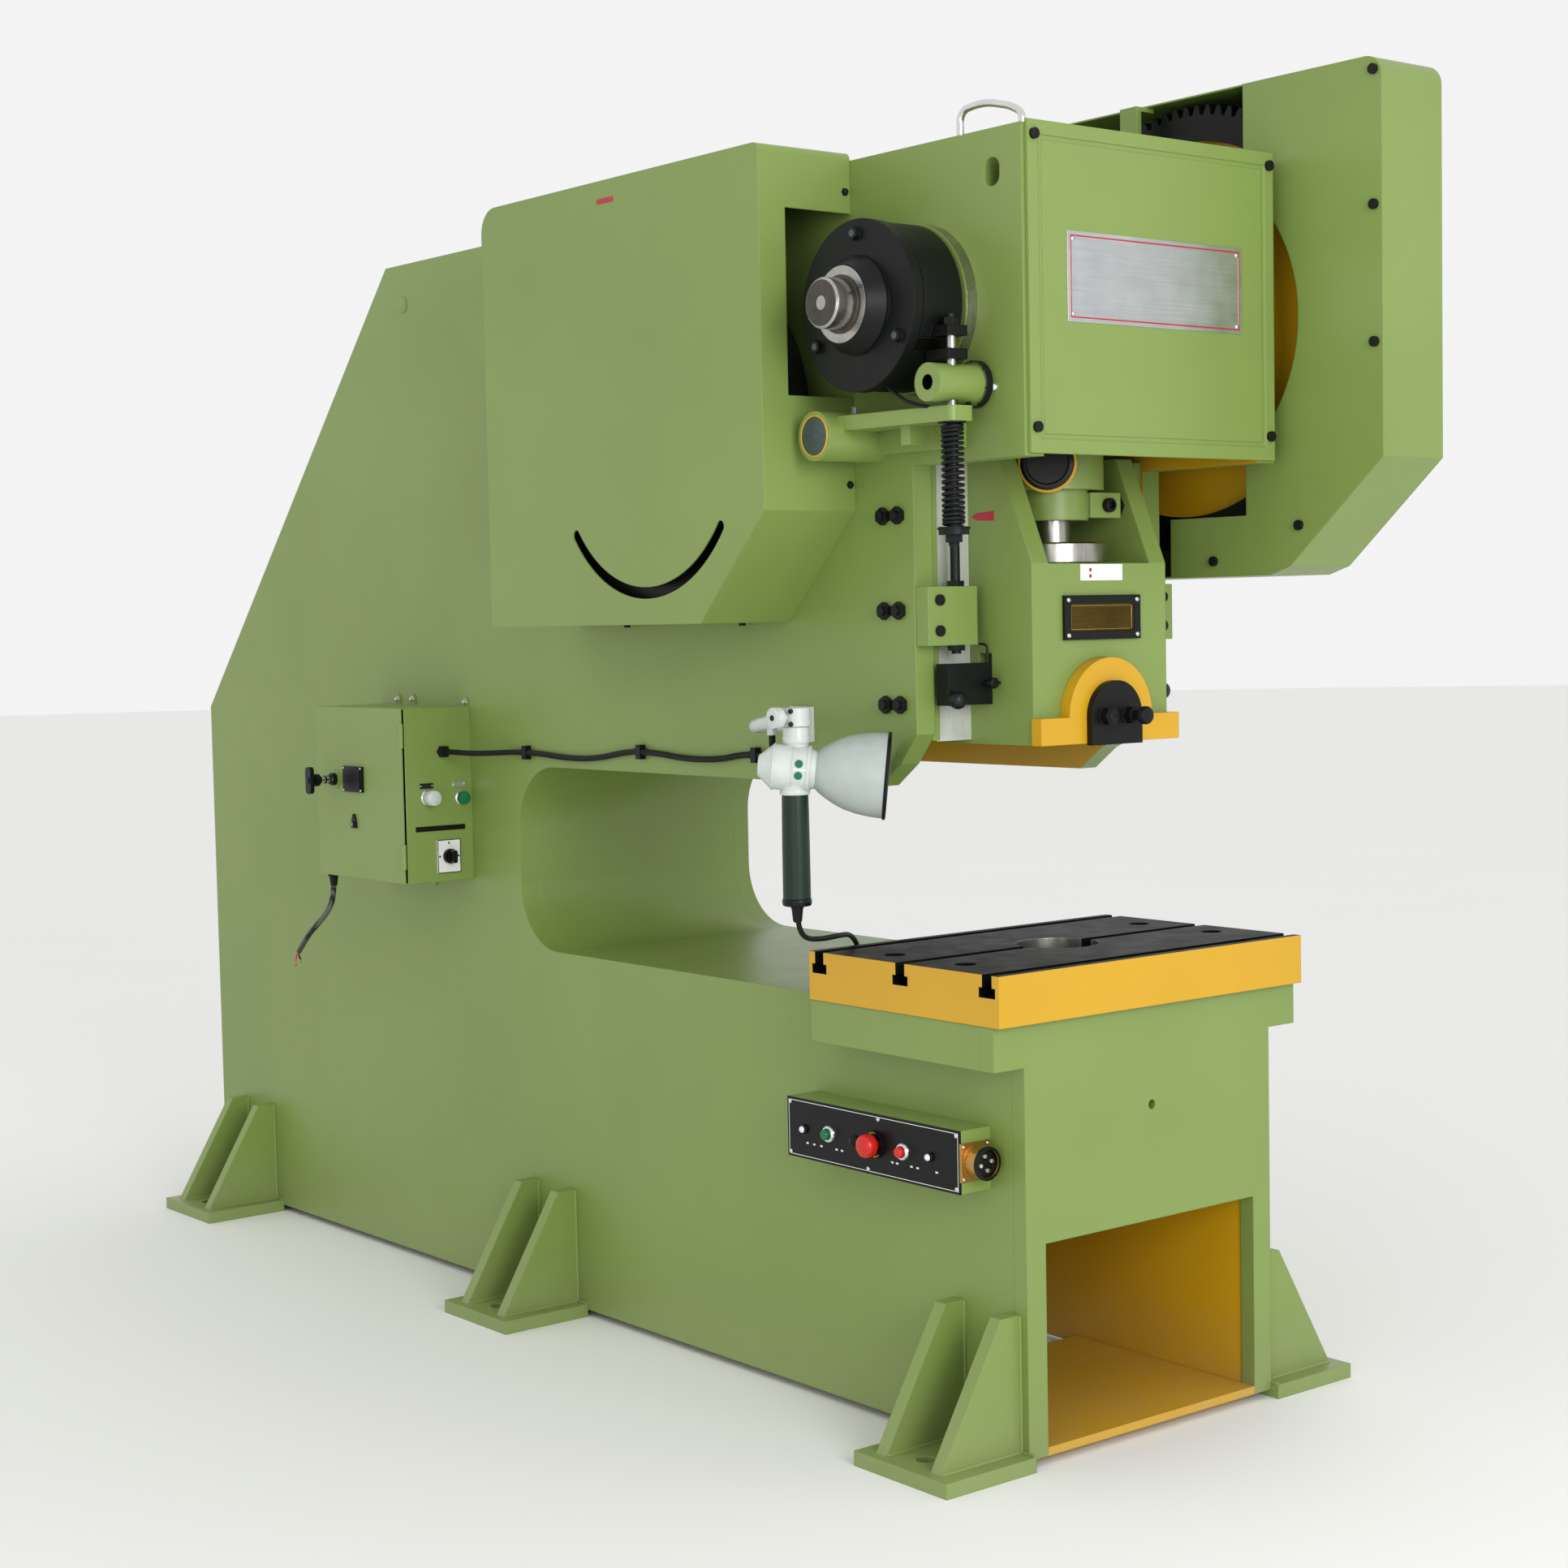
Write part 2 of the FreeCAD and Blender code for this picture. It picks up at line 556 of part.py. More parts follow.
# ================================================================ table
def table():
    """Bolster plate with three T-slots along X, a central bore and four sunk bolt holes."""
    low = TABLE_TOP_Z - TABLE_THICK
    plate = box(-TABLE_HALF_WIDTH, TABLE_HALF_WIDTH, 0, TABLE_DEPTH, low, TABLE_TOP_Z)
    plate = plate.cut(rod_z(low - 1, TABLE_TOP_Z + 1, 0, RAM_Y, TABLE_BORE_R))
    length = TABLE_HALF_WIDTH + 1
    for step in (-1, 0, 1):
        y = TABLE_DEPTH / 2 + step * TSLOT_PITCH
        neck_bottom = TABLE_TOP_Z - TSLOT_NECK_DEPTH
        plate = plate.cut(box(-length, length, y - TSLOT_NECK / 2, y + TSLOT_NECK / 2, neck_bottom,
                              TABLE_TOP_Z + 1))
        plate = plate.cut(box(-length, length, y - TSLOT_HEAD / 2, y + TSLOT_HEAD / 2,
                              neck_bottom - TSLOT_HEAD_DEPTH, neck_bottom))
    for x, y in table_bolt_places():
        plate = plate.cut(rod_z(low - 1, TABLE_TOP_Z + 1, x, y, TABLE_BOLT_R))
        plate = plate.cut(rod_z(TABLE_TOP_Z - TABLE_BOLT_SINK, TABLE_TOP_Z + 1, x, y, TABLE_BOLT_R * 1.8))
    return plate


def table_bolt_places():
    half = TABLE_DEPTH / 2 - TABLE_BOLT_Y
    return [(x, TABLE_DEPTH / 2 + side * half / 2) for x in (-TABLE_BOLT_X, TABLE_BOLT_X) for side in (-1, 1)]


def table_bolts():
    bolts = []
    for x, y in table_bolt_places():
        seat = TABLE_TOP_Z - TABLE_BOLT_SINK
        shank = rod_z(BED_TOP_Z - TABLE_BOLT_GRIP, seat, x, y, TABLE_BOLT_R)
        head = rod_z(seat, seat + TABLE_BOLT_R * 1.6, x, y, TABLE_BOLT_R * 1.6)
        socket = hex_rod(Vector(x, y, seat + 6), Vector(0, 0, 1), TABLE_BOLT_R * 1.4, TABLE_BOLT_R * 2)
        bolts.append(shank.fuse(head).cut(socket))
    return bolts


# ================================================================ ram and its guides
def gib_screw_places():
    middle = (EAR_FRONT_Y + RAM_REAR_Y) / 2
    return [(middle + side * GIB_SCREW_PITCH / 2, z) for z in GIB_SCREW_Z for side in (-1, 1)]


def gib(sign):
    """L-shaped guide beside and behind one ear of the ram."""
    side = sign * (EAR_HALF_WIDTH + SEAT)
    wall = sign * INNER
    beside = box(side, wall, EAR_FRONT_Y - 8, ARM_WALL_Y, GIB_Z[0], GIB_Z[1])
    behind = box(sign * (RAM_HALF_WIDTH + 12), wall, RAM_REAR_Y + SEAT, ARM_WALL_Y, GIB_Z[0], GIB_Z[1])
    return beside.fuse(behind).removeSplitter()


def gib_screws():
    """Adjusting screws through the cheeks onto the gibs, and the bracket screws of the knock-out stops."""
    screws = []
    for sign in (-1, 1):
        outside = sign * (HALF_WIDTH + 14)
        way = Vector(sign, 0, 0)
        for y, z in gib_screw_places():
            shank = rod_x(min(sign * INNER, outside), max(sign * INNER, outside), y, z, GIB_SCREW_R)
            nut = hex_rod(Vector(sign * HALF_WIDTH, y, z), way, GIB_SCREW_R * 3.2, 9)
            screws.append(shank.fuse(nut))
        for z in STOP_BOLT_Z:
            head = rod_y(STOP_FRONT_Y - 5, STOP_FRONT_Y, sign * STOP_BOLT_X, z, 9)
            screws.append(head)
        rod = rod_z(STOP_TIP_Z, STOP_ROD_TOP_Z, sign * STOP_SCREW_X, STOP_SCREW_Y, STOP_SCREW_R)
        nuts = [hex_rod(Vector(sign * STOP_SCREW_X, STOP_SCREW_Y, z), Vector(0, 0, 1), 26, 9)
                for z in (STOP_Z[0] - 9, STOP_Z[1])]
        screws.append(rod.fuse(nuts))
    return screws


def knockout_stop(sign):
    """Bracket on a cheek's front edge that carries a knock-out stop screw."""
    block = box(sign * STOP_X[0], sign * STOP_X[1], STOP_FRONT_Y, ARM_FRONT_Y, STOP_Z[0], STOP_Z[1])
    return block.cut(rod_z(STOP_Z[0] - 1, STOP_Z[1] + 1, sign * STOP_SCREW_X, STOP_SCREW_Y, STOP_SCREW_R + FIT))


def arch(half_width, arch_z, bottom, grow=0.0):
    """Arched (x, z) outline: straight sides from bottom to arch_z, then a half circle."""
    r = half_width + grow
    low = bottom
    top = Part.Arc(Vector(r, arch_z, 0), Vector(0, arch_z + r, 0), Vector(-r, arch_z, 0)).toShape()
    sides = [Part.LineSegment(Vector(-r, arch_z, 0), Vector(-r, low, 0)).toShape(),
             Part.LineSegment(Vector(-r, low, 0), Vector(r, low, 0)).toShape(),
             Part.LineSegment(Vector(r, low, 0), Vector(r, arch_z, 0)).toShape()]
    return Part.Wire([top] + sides)


def arch_slab(half_width, arch_z, bottom, y0, y1, grow=0.0):
    shape = Part.Face(arch(half_width, arch_z, bottom, grow)).extrude(Vector(0, 0, -abs(y1 - y0)))
    shape.Placement = FreeCAD.Placement(Vector(0, min(y0, y1), 0), FreeCAD.Rotation(Vector(1, 0, 0), 90))
    return shape


def ram():
    """Slide casting: block with guide ears, open pocket for the screw, shank bore and knock-out slot."""
    body = box(-RAM_HALF_WIDTH, RAM_HALF_WIDTH, RAM_FRONT_Y, RAM_REAR_Y, RAM_BOTTOM_Z, RAM_TOP_Z)
    ears = box(-EAR_HALF_WIDTH, EAR_HALF_WIDTH, EAR_FRONT_Y, RAM_REAR_Y, RAM_BOTTOM_Z + 7, RAM_TOP_Z)
    body = body.fuse(ears).removeSplitter()
    pocket = box(-RAM_HALF_WIDTH + RAM_WALL, RAM_HALF_WIDTH - RAM_WALL, RAM_FRONT_Y - 1,
                 RAM_REAR_Y - RAM_BACK_WALL, RAM_FACE_TOP_Z, RAM_TOP_Z + 1)
    slope = slab_x([(RAM_FRONT_Y, RAM_FACE_TOP_Z), (RAM_SLOPE_Y, RAM_TOP_Z), (RAM_SLOPE_Y, RAM_TOP_Z + 1),
                    (RAM_FRONT_Y - 1, RAM_TOP_Z + 1), (RAM_FRONT_Y - 1, RAM_FACE_TOP_Z)],
                   -RAM_HALF_WIDTH - 1, RAM_HALF_WIDTH + 1)
    ball = Part.makeSphere(BALL_R + SEAT, Vector(0, RAM_Y, BALL_Z))
    neck = rod_z(BALL_Z, RAM_FACE_TOP_Z + 1, 0, RAM_Y, BALL_R + SEAT)
    clamp = arch_slab(CAP_ARCH_R, CAP_ARCH_Z, RAM_BOTTOM_Z - 1, RAM_FRONT_Y - 1, CAP_BACK_Y, FIT)
    block = box(-CAP_BLOCK - FIT, CAP_BLOCK + FIT, RAM_FRONT_Y, RAM_Y, RAM_BOTTOM_Z - 1,
                RAM_BOTTOM_Z + SHANK_DEPTH + FIT)
    shank = rod_z(RAM_BOTTOM_Z - 1, RAM_BOTTOM_Z + SHANK_DEPTH, 0, RAM_Y, SHANK_R)
    pin = rod_z(RAM_BOTTOM_Z, KNOCKOUT_Z, 0, RAM_Y + SHANK_R / 2, 8)
    half = KNOCKOUT_THICK / 2 + SEAT
    slot = box(-EAR_HALF_WIDTH - 1, EAR_HALF_WIDTH + 1, RAM_Y - half, RAM_Y + half,
               KNOCKOUT_Z - KNOCKOUT_HEIGHT / 2, KNOCKOUT_Z + KNOCKOUT_HEIGHT / 2 + KNOCKOUT_TRAVEL + SEAT)
    return body.cut(Part.makeCompound([pocket, slope])).cut(ball).cut(neck).cut(clamp).cut(block).cut(
        shank).cut(pin).cut(slot)


def shank_clamp():
    """Arched clamp that closes the front half of the shank bore."""
    front = RAM_FRONT_Y - CAP_OUT
    shape = arch_slab(CAP_ARCH_R, CAP_ARCH_Z, RAM_BOTTOM_Z, front, CAP_BACK_Y - FIT)
    strip = box(-CAP_HALF_WIDTH, CAP_HALF_WIDTH, front, RAM_FRONT_Y, RAM_BOTTOM_Z, CAP_STRIP_Z)
    block = box(-CAP_BLOCK, CAP_BLOCK, front, RAM_Y - 2 * FIT, RAM_BOTTOM_Z, RAM_BOTTOM_Z + SHANK_DEPTH)
    shape = shape.fuse(strip).fuse(block).removeSplitter()
    shape = shape.cut(rod_z(RAM_BOTTOM_Z - 1, RAM_BOTTOM_Z + SHANK_DEPTH + 1, 0, RAM_Y, SHANK_R))
    for x in (-CLAMP_BOLT_X, CLAMP_BOLT_X):
        shape = shape.cut(rod_y(front - 1, CAP_BACK_Y, x, CAP_ARCH_Z, CLAMP_BOLT_R))
    return shape


def clamp_plate():
    """Half-round pressure plate and the two bolts that hold the clamp."""
    back = RAM_FRONT_Y - CAP_OUT
    front = back - PLATE_OUT
    plate = arch_slab(PLATE_ARCH_R, CAP_ARCH_Z, RAM_BOTTOM_Z - 3, front, back)
    bolts = []
    for x in (-CLAMP_BOLT_X, CLAMP_BOLT_X):
        plate = plate.cut(rod_y(front - 1, back + 1, x, CAP_ARCH_Z, CLAMP_BOLT_R))
        shank = rod_y(front, CAP_BACK_Y - FIT, x, CAP_ARCH_Z, CLAMP_BOLT_R)
        head = hex_rod(Vector(x, front, CAP_ARCH_Z), Vector(0, -1, 0), 27, 16)
        bolts.append(shank.fuse(head))
    return [plate] + bolts


def ball_screw():
    """Adjusting screw: a ball in the ram and a stem up into the connecting rod."""
    ball = Part.makeSphere(BALL_R, Vector(0, RAM_Y, BALL_Z))
    stem = rod_z(BALL_Z, ROD_CLAMP_Z[1] + 60, 0, RAM_Y, SCREW_R)
    return ball.fuse(stem)


def ring_nut():
    ring = rod_z(RAM_FACE_TOP_Z, RAM_FACE_TOP_Z + NUT_HEIGHT, 0, RAM_Y, NUT_R)
    ring = ring.makeChamfer(3, [ring.Edges[0], ring.Edges[2]])
    ring = ring.cut(Part.makeSphere(BALL_R + SEAT, Vector(0, RAM_Y, BALL_Z)))
    return ring.cut(rod_z(RAM_FACE_TOP_Z - 1, RAM_FACE_TOP_Z + NUT_HEIGHT + 1, 0, RAM_Y, SCREW_R + 6))


def connecting_rod():
    """Rod casting with its split clamp, and the cap of its big end.

    The big end's hole is long and tall enough for the crank pin at every angle, because the rod rides
    with the ram."""
    reach = PIN_R + PIN_LIFT + BIG_END_WALL
    half = PIN_LENGTH / 2 - SIDE_GAP
    web_low = CRANK_Z - WEB_HALF * 1.04
    barrel = rod_z(ROD_CLAMP_Z[1], web_low, 0, RAM_Y, ROD_R)
    neck = rod_z(web_low, PIN_Z - reach + 30, 0, RAM_Y, ROD_R)
    neck = neck.common(box(-half, half, RAM_Y - ROD_R, RAM_Y + ROD_R, web_low, PIN_Z))
    low = [(RAM_Y - reach, PIN_Z), (RAM_Y - reach, PIN_Z - reach, reach * 0.45),
           (RAM_Y + reach + THROW, PIN_Z - reach, reach * 0.45), (RAM_Y + reach + THROW, PIN_Z)]
    high = [(RAM_Y - reach, PIN_Z + FIT), (RAM_Y + reach + THROW, PIN_Z + FIT),
            (RAM_Y + reach + THROW, PIN_Z + reach, reach * 0.45),
            (RAM_Y - reach, PIN_Z + reach, reach * 0.45)]
    gap = PIN_R + PIN_LIFT
    hole = [(RAM_Y - gap, PIN_Z - gap, gap * 0.98), (RAM_Y + gap + THROW, PIN_Z - gap, gap * 0.98),
            (RAM_Y + gap + THROW, PIN_Z + gap, gap * 0.98), (RAM_Y - gap, PIN_Z + gap, gap * 0.98)]
    opening = slab_x(hole, -half - 1, half + 1)
    lower = slab_x(low, -half, half).fuse([barrel, neck])
    lower = lower.fuse(rod_z(ROD_CLAMP_Z[0], ROD_CLAMP_Z[1], 0, RAM_Y, ROD_CLAMP_R))
    ear = box(ROD_CLAMP_R * 0.5, ROD_CLAMP_R + 40, RAM_Y - 62, RAM_Y - 20, ROD_CLAMP_Z[0] + 4,
              ROD_CLAMP_Z[1] - 4)
    lower = lower.fuse(ear).removeSplitter()
    lower = lower.cut(opening)
    lower = lower.cut(rod_z(ROD_CLAMP_Z[0] - 1, ROD_CLAMP_Z[1] + 60 + FIT, 0, RAM_Y, SCREW_R + FIT))
    lower = lower.cut(box(0, ROD_CLAMP_R + 41, RAM_Y - 43, RAM_Y - 39, ROD_CLAMP_Z[0] - 1, ROD_CLAMP_Z[1]))
    cap = slab_x(high, -half, half).cut(opening)
    return lower, cap


def knockout_bar():
    half = KNOCKOUT_THICK / 2
    long = RAM_HALF_WIDTH + KNOCKOUT_OUT
    return box(-long, long, RAM_Y - half, RAM_Y + half, KNOCKOUT_Z - KNOCKOUT_HEIGHT / 2,
               KNOCKOUT_Z + KNOCKOUT_HEIGHT / 2)


# ================================================================ crankshaft and brake
def crankshaft():
    """Journals, two webs and the crank pin, at top dead centre, with the stub for the brake."""
    half = PIN_LENGTH / 2
    web_out = half + WEB_THICK
    shaft = rod_x(CRANK_LEFT_X, -web_out, RAM_Y, CRANK_Z, JOURNAL_R)
    stub = rod_x(STUB_X, CRANK_LEFT_X, RAM_Y, CRANK_Z, STUB_R)
    stub = stub.makeChamfer(3, [edge for edge in stub.Edges if abs(edge.BoundBox.XMax - STUB_X) < 0.1
                                and edge.BoundBox.XLength < 0.1])
    right = rod_x(web_out, CRANK_RIGHT_X, RAM_Y, CRANK_Z, JOURNAL_R)
    pin = rod_x(-half, half, RAM_Y, PIN_Z, PIN_R)
    web = [(RAM_Y - WEB_HALF, CRANK_Z - WEB_HALF, WEB_HALF * 0.6),
           (RAM_Y + WEB_HALF, CRANK_Z - WEB_HALF, WEB_HALF * 0.6),
           (RAM_Y + WEB_HALF, PIN_Z + WEB_HALF, WEB_HALF * 0.6),
           (RAM_Y - WEB_HALF, PIN_Z + WEB_HALF, WEB_HALF * 0.6)]
    shape = shaft.fuse([stub, right, pin, slab_x(web, -web_out, -half), slab_x(web, half, web_out)])
    return shape.removeSplitter()


def crank_collar():
    """Collar that keeps the big gear on the crank's right end."""
    start = GEAR_IN_X + GEAR_FACE + SIDE_GAP
    return ring_x(start, CRANK_RIGHT_X, RAM_Y, CRANK_Z, JOURNAL_R + 22, JOURNAL_R)


def brake_drum():
    """Drum with its outer disc and hub, in one casting, on the crank's left end."""
    left = DRUM_LEFT_X - DISC_THICK
    profile = [(DRUM_RIGHT_X, JOURNAL_R), (left - HUB_OUT, JOURNAL_R), (left - HUB_OUT, HUB_R - 16),
               (left - 6, HUB_R), (left, HUB_R), (left, DISC_R), (DRUM_LEFT_X, DISC_R),
               (DRUM_LEFT_X, DRUM_R), (DRUM_RIGHT_X, DRUM_R), (DRUM_RIGHT_X, DRUM_R - 16),
               (DRUM_LEFT_X + 14, DRUM_R - 16), (DRUM_LEFT_X + 14, JOURNAL_R + 22),
               (DRUM_RIGHT_X, JOURNAL_R + 22)]
    drum = spin_x(profile, 0, RAM_Y, CRANK_Z)
    for turn in (90, 210, 330):
        y = RAM_Y + 112 * math.cos(math.radians(turn))
        z = CRANK_Z + 112 * math.sin(math.radians(turn))
        drum = drum.fuse(hex_rod(Vector(left, y, z), Vector(-1, 0, 0), 19, 9))
    return drum.removeSplitter()


def brake_band():
    """Lining and steel band round the drum, open at the front between two lugs."""
    low = DRUM_LEFT_X + 4
    high = DRUM_RIGHT_X - 2
    inner = DRUM_R + SEAT
    lining = ring_x(low, high, RAM_Y, CRANK_Z, inner + LINING_THICK, inner)
    band = ring_x(low, high, RAM_Y, CRANK_Z, inner + LINING_THICK + BAND_THICK, inner + LINING_THICK)
    gap = box(low - 1, high + 1, RAM_Y - 160, RAM_Y - 60, BAND_GAP_Z[0], BAND_GAP_Z[1])
    outside = RAM_Y - math.sqrt((inner + LINING_THICK + 2) ** 2 - (CRANK_Z - BAND_GAP_Z[1]) ** 2)
    lugs = [box(BRAKE_ROD_X - 20, BRAKE_ROD_X + 20, BRAKE_ROD_Y - 16, outside, BAND_GAP_Z[1],
                BAND_GAP_Z[1] + 16),
            box(BRAKE_ROD_X - 20, BRAKE_ROD_X + 20, BRAKE_ROD_Y - 16, outside + 8, BAND_GAP_Z[0] - 16,
                BAND_GAP_Z[0])]
    core = rod_x(low - 1, high + 1, RAM_Y, CRANK_Z, inner + LINING_THICK + 1)
    band = band.cut(gap).fuse([lug.cut(core) for lug in lugs]).removeSplitter()
    hole = rod_z(BAND_GAP_Z[0] - 20, BAND_GAP_Z[1] + 20, BRAKE_ROD_X, BRAKE_ROD_Y, BRAKE_ROD_R + FIT)
    return lining.cut(gap), band.cut(hole)


def brake_rod():
    """Rod that pulls the band tight, with its nuts and the spring collar."""
    rod = rod_z(ROD_TIP_Z, BAND_GAP_Z[1] + 34, BRAKE_ROD_X, BRAKE_ROD_Y, BRAKE_ROD_R)
    at = Vector(BRAKE_ROD_X, BRAKE_ROD_Y, 0)
    up = Vector(0, 0, 1)
    nuts = [hex_rod(at + up * (BAND_GAP_Z[1] + 16), up, 24, 12),
            hex_rod(at + up * (SPRING_Z[0] - 24), up, 24, 12)]
    collar = rod_z(SPRING_Z[0] - 12, SPRING_Z[0], BRAKE_ROD_X, BRAKE_ROD_Y, SPRING_R + 5)
    return rod.fuse(nuts + [collar]).removeSplitter()


def brake_spring():
    """Compression spring on the rod, as the sleeve that its coils fill."""
    sleeve = rod_z(SPRING_Z[0], SPRING_Z[1], BRAKE_ROD_X, BRAKE_ROD_Y, SPRING_R)
    return sleeve.cut(rod_z(SPRING_Z[0] - 1, SPRING_Z[1] + 1, BRAKE_ROD_X, BRAKE_ROD_Y, SPRING_R - 5))


def brake_bracket():
    """Spring lever with its round boss, and the cross tube above it, on the left cheek."""
    y, z, r = LEVER_BOSS
    boss = rod_x(LEVER_LEFT_X, -HALF_WIDTH, y, z, r)
    arm = slab_z([(BRAKE_ROD_X - 24, BRAKE_ROD_Y - 26, 10), (BRAKE_ROD_X + 24, BRAKE_ROD_Y - 26, 10),
                  (BRAKE_ROD_X + 30, y), (BRAKE_ROD_X - 42, y)],
                 LEVER_Z - LEVER_THICK / 2, LEVER_Z + LEVER_THICK / 2)
    shoe = box(-HALF_WIDTH - 26, -HALF_WIDTH, BRAKE_ROD_Y + 40, y, LEVER_Z - LEVER_THICK / 2 - 36,
               LEVER_Z + LEVER_THICK / 2)
    web = box(BRAKE_ROD_X - 10, -HALF_WIDTH, BRAKE_ROD_Y + 90, BRAKE_ROD_Y + 110,
              LEVER_Z - LEVER_THICK / 2 - 30, LEVER_Z)
    lever = boss.fuse([arm, shoe, web]).removeSplitter()
    lever = lever.cut(rod_x(LEVER_LEFT_X - 1, LEVER_LEFT_X + 4, y, z, r - 6))
    hole = rod_z(LEVER_Z - 100, TUBE_BOSS[1] + 100, BRAKE_ROD_X, BRAKE_ROD_Y, BRAKE_ROD_R + FIT)
    ty, tz, tr = TUBE_BOSS
    tube_boss = rod_x(DRUM_LEFT_X, -HALF_WIDTH, ty, tz, tr)
    collar = rod_x(-HALF_WIDTH - 20, -HALF_WIDTH - 8, ty, tz, tr + 7)
    tube_boss = tube_boss.fuse(collar).cut(rod_x(DRUM_LEFT_X - 1, DRUM_LEFT_X + 60, ty, tz, 12))
    return lever.cut(hole), tube_boss.cut(hole)


# ================================================================ gears, flywheel and motor
def tooth_half_angle(radius, teeth):
    """Half of the angle that one involute tooth fills at a radius."""
    pressure = math.radians(20)
    base = GEAR_MODULE * teeth / 2 * math.cos(pressure)
    slope = math.acos(min(1.0, base / max(radius, base)))
    return (math.pi / (2 * teeth) * (1 - BACKLASH)
            + math.tan(pressure) - pressure - math.tan(slope) + slope)


def gear_slab(teeth, centre, tooth_at, x0, x1):
    """Spur gear blank with its teeth, one of them pointing along the angle tooth_at."""
    pitch = GEAR_MODULE * teeth / 2
    radii = (pitch - 1.2 * GEAR_MODULE, pitch, pitch + GEAR_MODULE * ADDENDUM)
    points = []
    for i in range(teeth):
        middle = tooth_at + 2 * math.pi * i / teeth
        left = [(r, middle - tooth_half_angle(r, teeth)) for r in radii]
        right = [(r, middle + tooth_half_angle(r, teeth)) for r in reversed(radii)]
        points += [(centre[0] + r * math.cos(a), centre[1] + r * math.sin(a)) for r, a in left + right]
    return slab_x(points, x0, x1)


def mesh_angle():
    """Angle in the Y-Z plane from the crank to the drive shaft."""
    return math.atan2(DRIVE_SHAFT_Z - CRANK_Z, DRIVE_SHAFT_Y - RAM_Y)


def bull_gear():
    """Big gear with a webbed body, free on the crank until the clutch key turns."""
    end = GEAR_IN_X + GEAR_FACE
    gear = gear_slab(GEAR_TEETH, (RAM_Y, CRANK_Z), mesh_angle(), GEAR_IN_X, end)
    rim = GEAR_MODULE * GEAR_TEETH / 2 - GEAR_RIM
    for side in (GEAR_IN_X, end):
        x0 = side - GEAR_RECESS if side == end else side - 1
        x1 = side + 1 if side == end else side + GEAR_RECESS
        gear = gear.cut(ring_x(x0, x1, RAM_Y, CRANK_Z, rim, GEAR_HUB_R))
    return gear.cut(rod_x(GEAR_IN_X - 1, end + 1, RAM_Y, CRANK_Z, JOURNAL_R + RUNNING))


def pinion():
    start = GEAR_IN_X - 2
    end = GEAR_IN_X + GEAR_FACE + 2
    tooth = mesh_angle() + math.pi + math.pi / PINION_TEETH
    shape = gear_slab(PINION_TEETH, (DRIVE_SHAFT_Y, DRIVE_SHAFT_Z), tooth, start, end)
    return shape.cut(rod_x(start - 1, end + 1, DRIVE_SHAFT_Y, DRIVE_SHAFT_Z, SHAFT_R))


def drive_shaft():
    return rod_x(SHAFT_LEFT_X, GEAR_IN_X + GEAR_FACE + 14, DRIVE_SHAFT_Y, DRIVE_SHAFT_Z, SHAFT_R)


def grooved(radius, y, z, hole_r):
    """Belt pulley profile: a rim with one groove for each belt, spun about X."""
    first = FLYWHEEL_X[0] + FLYWHEEL_WIDTH / 2 - (BELT_COUNT - 1) * BELT_PITCH / 2
    wheel = rod_x(FLYWHEEL_X[0], FLYWHEEL_X[0] + FLYWHEEL_WIDTH, y, z, radius)
    half = BELT_WIDTH / 2 + SEAT
    for i in range(BELT_COUNT):
        x = first + i * BELT_PITCH
        wheel = wheel.cut(ring_x(x - half, x + half, y, z, radius + 1, radius - BELT_DEPTH - SEAT))
    return wheel.cut(rod_x(FLYWHEEL_X[0] - 1, FLYWHEEL_X[0] + FLYWHEEL_WIDTH + 1, y, z, hole_r))


def flywheel():
    wheel = grooved(FLYWHEEL_R, DRIVE_SHAFT_Y, DRIVE_SHAFT_Z, SHAFT_R)
    rim = FLYWHEEL_R - BELT_DEPTH - 38
    left = FLYWHEEL_X[0]
    right = left + FLYWHEEL_WIDTH
    for x0, x1 in ((left - 1, left + 30), (right - 30, right + 1)):
        wheel = wheel.cut(ring_x(x0, x1, DRIVE_SHAFT_Y, DRIVE_SHAFT_Z, rim, SHAFT_R + 40))
    return wheel


def drive_belt(x):
    """One belt round the flywheel and the motor pulley."""
    dy = MOTOR_Y - DRIVE_SHAFT_Y
    dz = MOTOR_Z - DRIVE_SHAFT_Z
    length = math.hypot(dy, dz)
    way = math.atan2(dz, dy)
    spread = math.acos((FLYWHEEL_R - PULLEY_R) / length)

    def loop(depth):
        wheels = ((DRIVE_SHAFT_Y, DRIVE_SHAFT_Z, FLYWHEEL_R - depth), (MOTOR_Y, MOTOR_Z, PULLEY_R - depth))
        spots = []
        for (y, z, r), far in zip(wheels, (way + math.pi, way)):
            turns = (way + spread, far, way - spread)
            spots.append([Vector(y + r * math.cos(t), z + r * math.sin(t), 0) for t in turns])
        big, small = spots
        return Part.Wire([Part.Arc(big[0], big[1], big[2]).toShape(),
                          Part.LineSegment(big[2], small[2]).toShape(),
                          Part.Arc(small[2], small[1], small[0]).toShape(),
                          Part.LineSegment(small[0], big[0]).toShape()])

    ring = Part.Face(loop(0)).cut(Part.Face(loop(BELT_DEPTH)))
    belt = ring.extrude(Vector(0, 0, BELT_WIDTH))
    belt.Placement = FreeCAD.Placement(FreeCAD.Matrix(0, 0, 1, x - BELT_WIDTH / 2, 1, 0, 0, 0, 0, 1, 0, 0))
    return belt


def drive_belts():
    first = FLYWHEEL_X[0] + FLYWHEEL_WIDTH / 2 - (BELT_COUNT - 1) * BELT_PITCH / 2
    return [drive_belt(first + i * BELT_PITCH) for i in range(BELT_COUNT)]


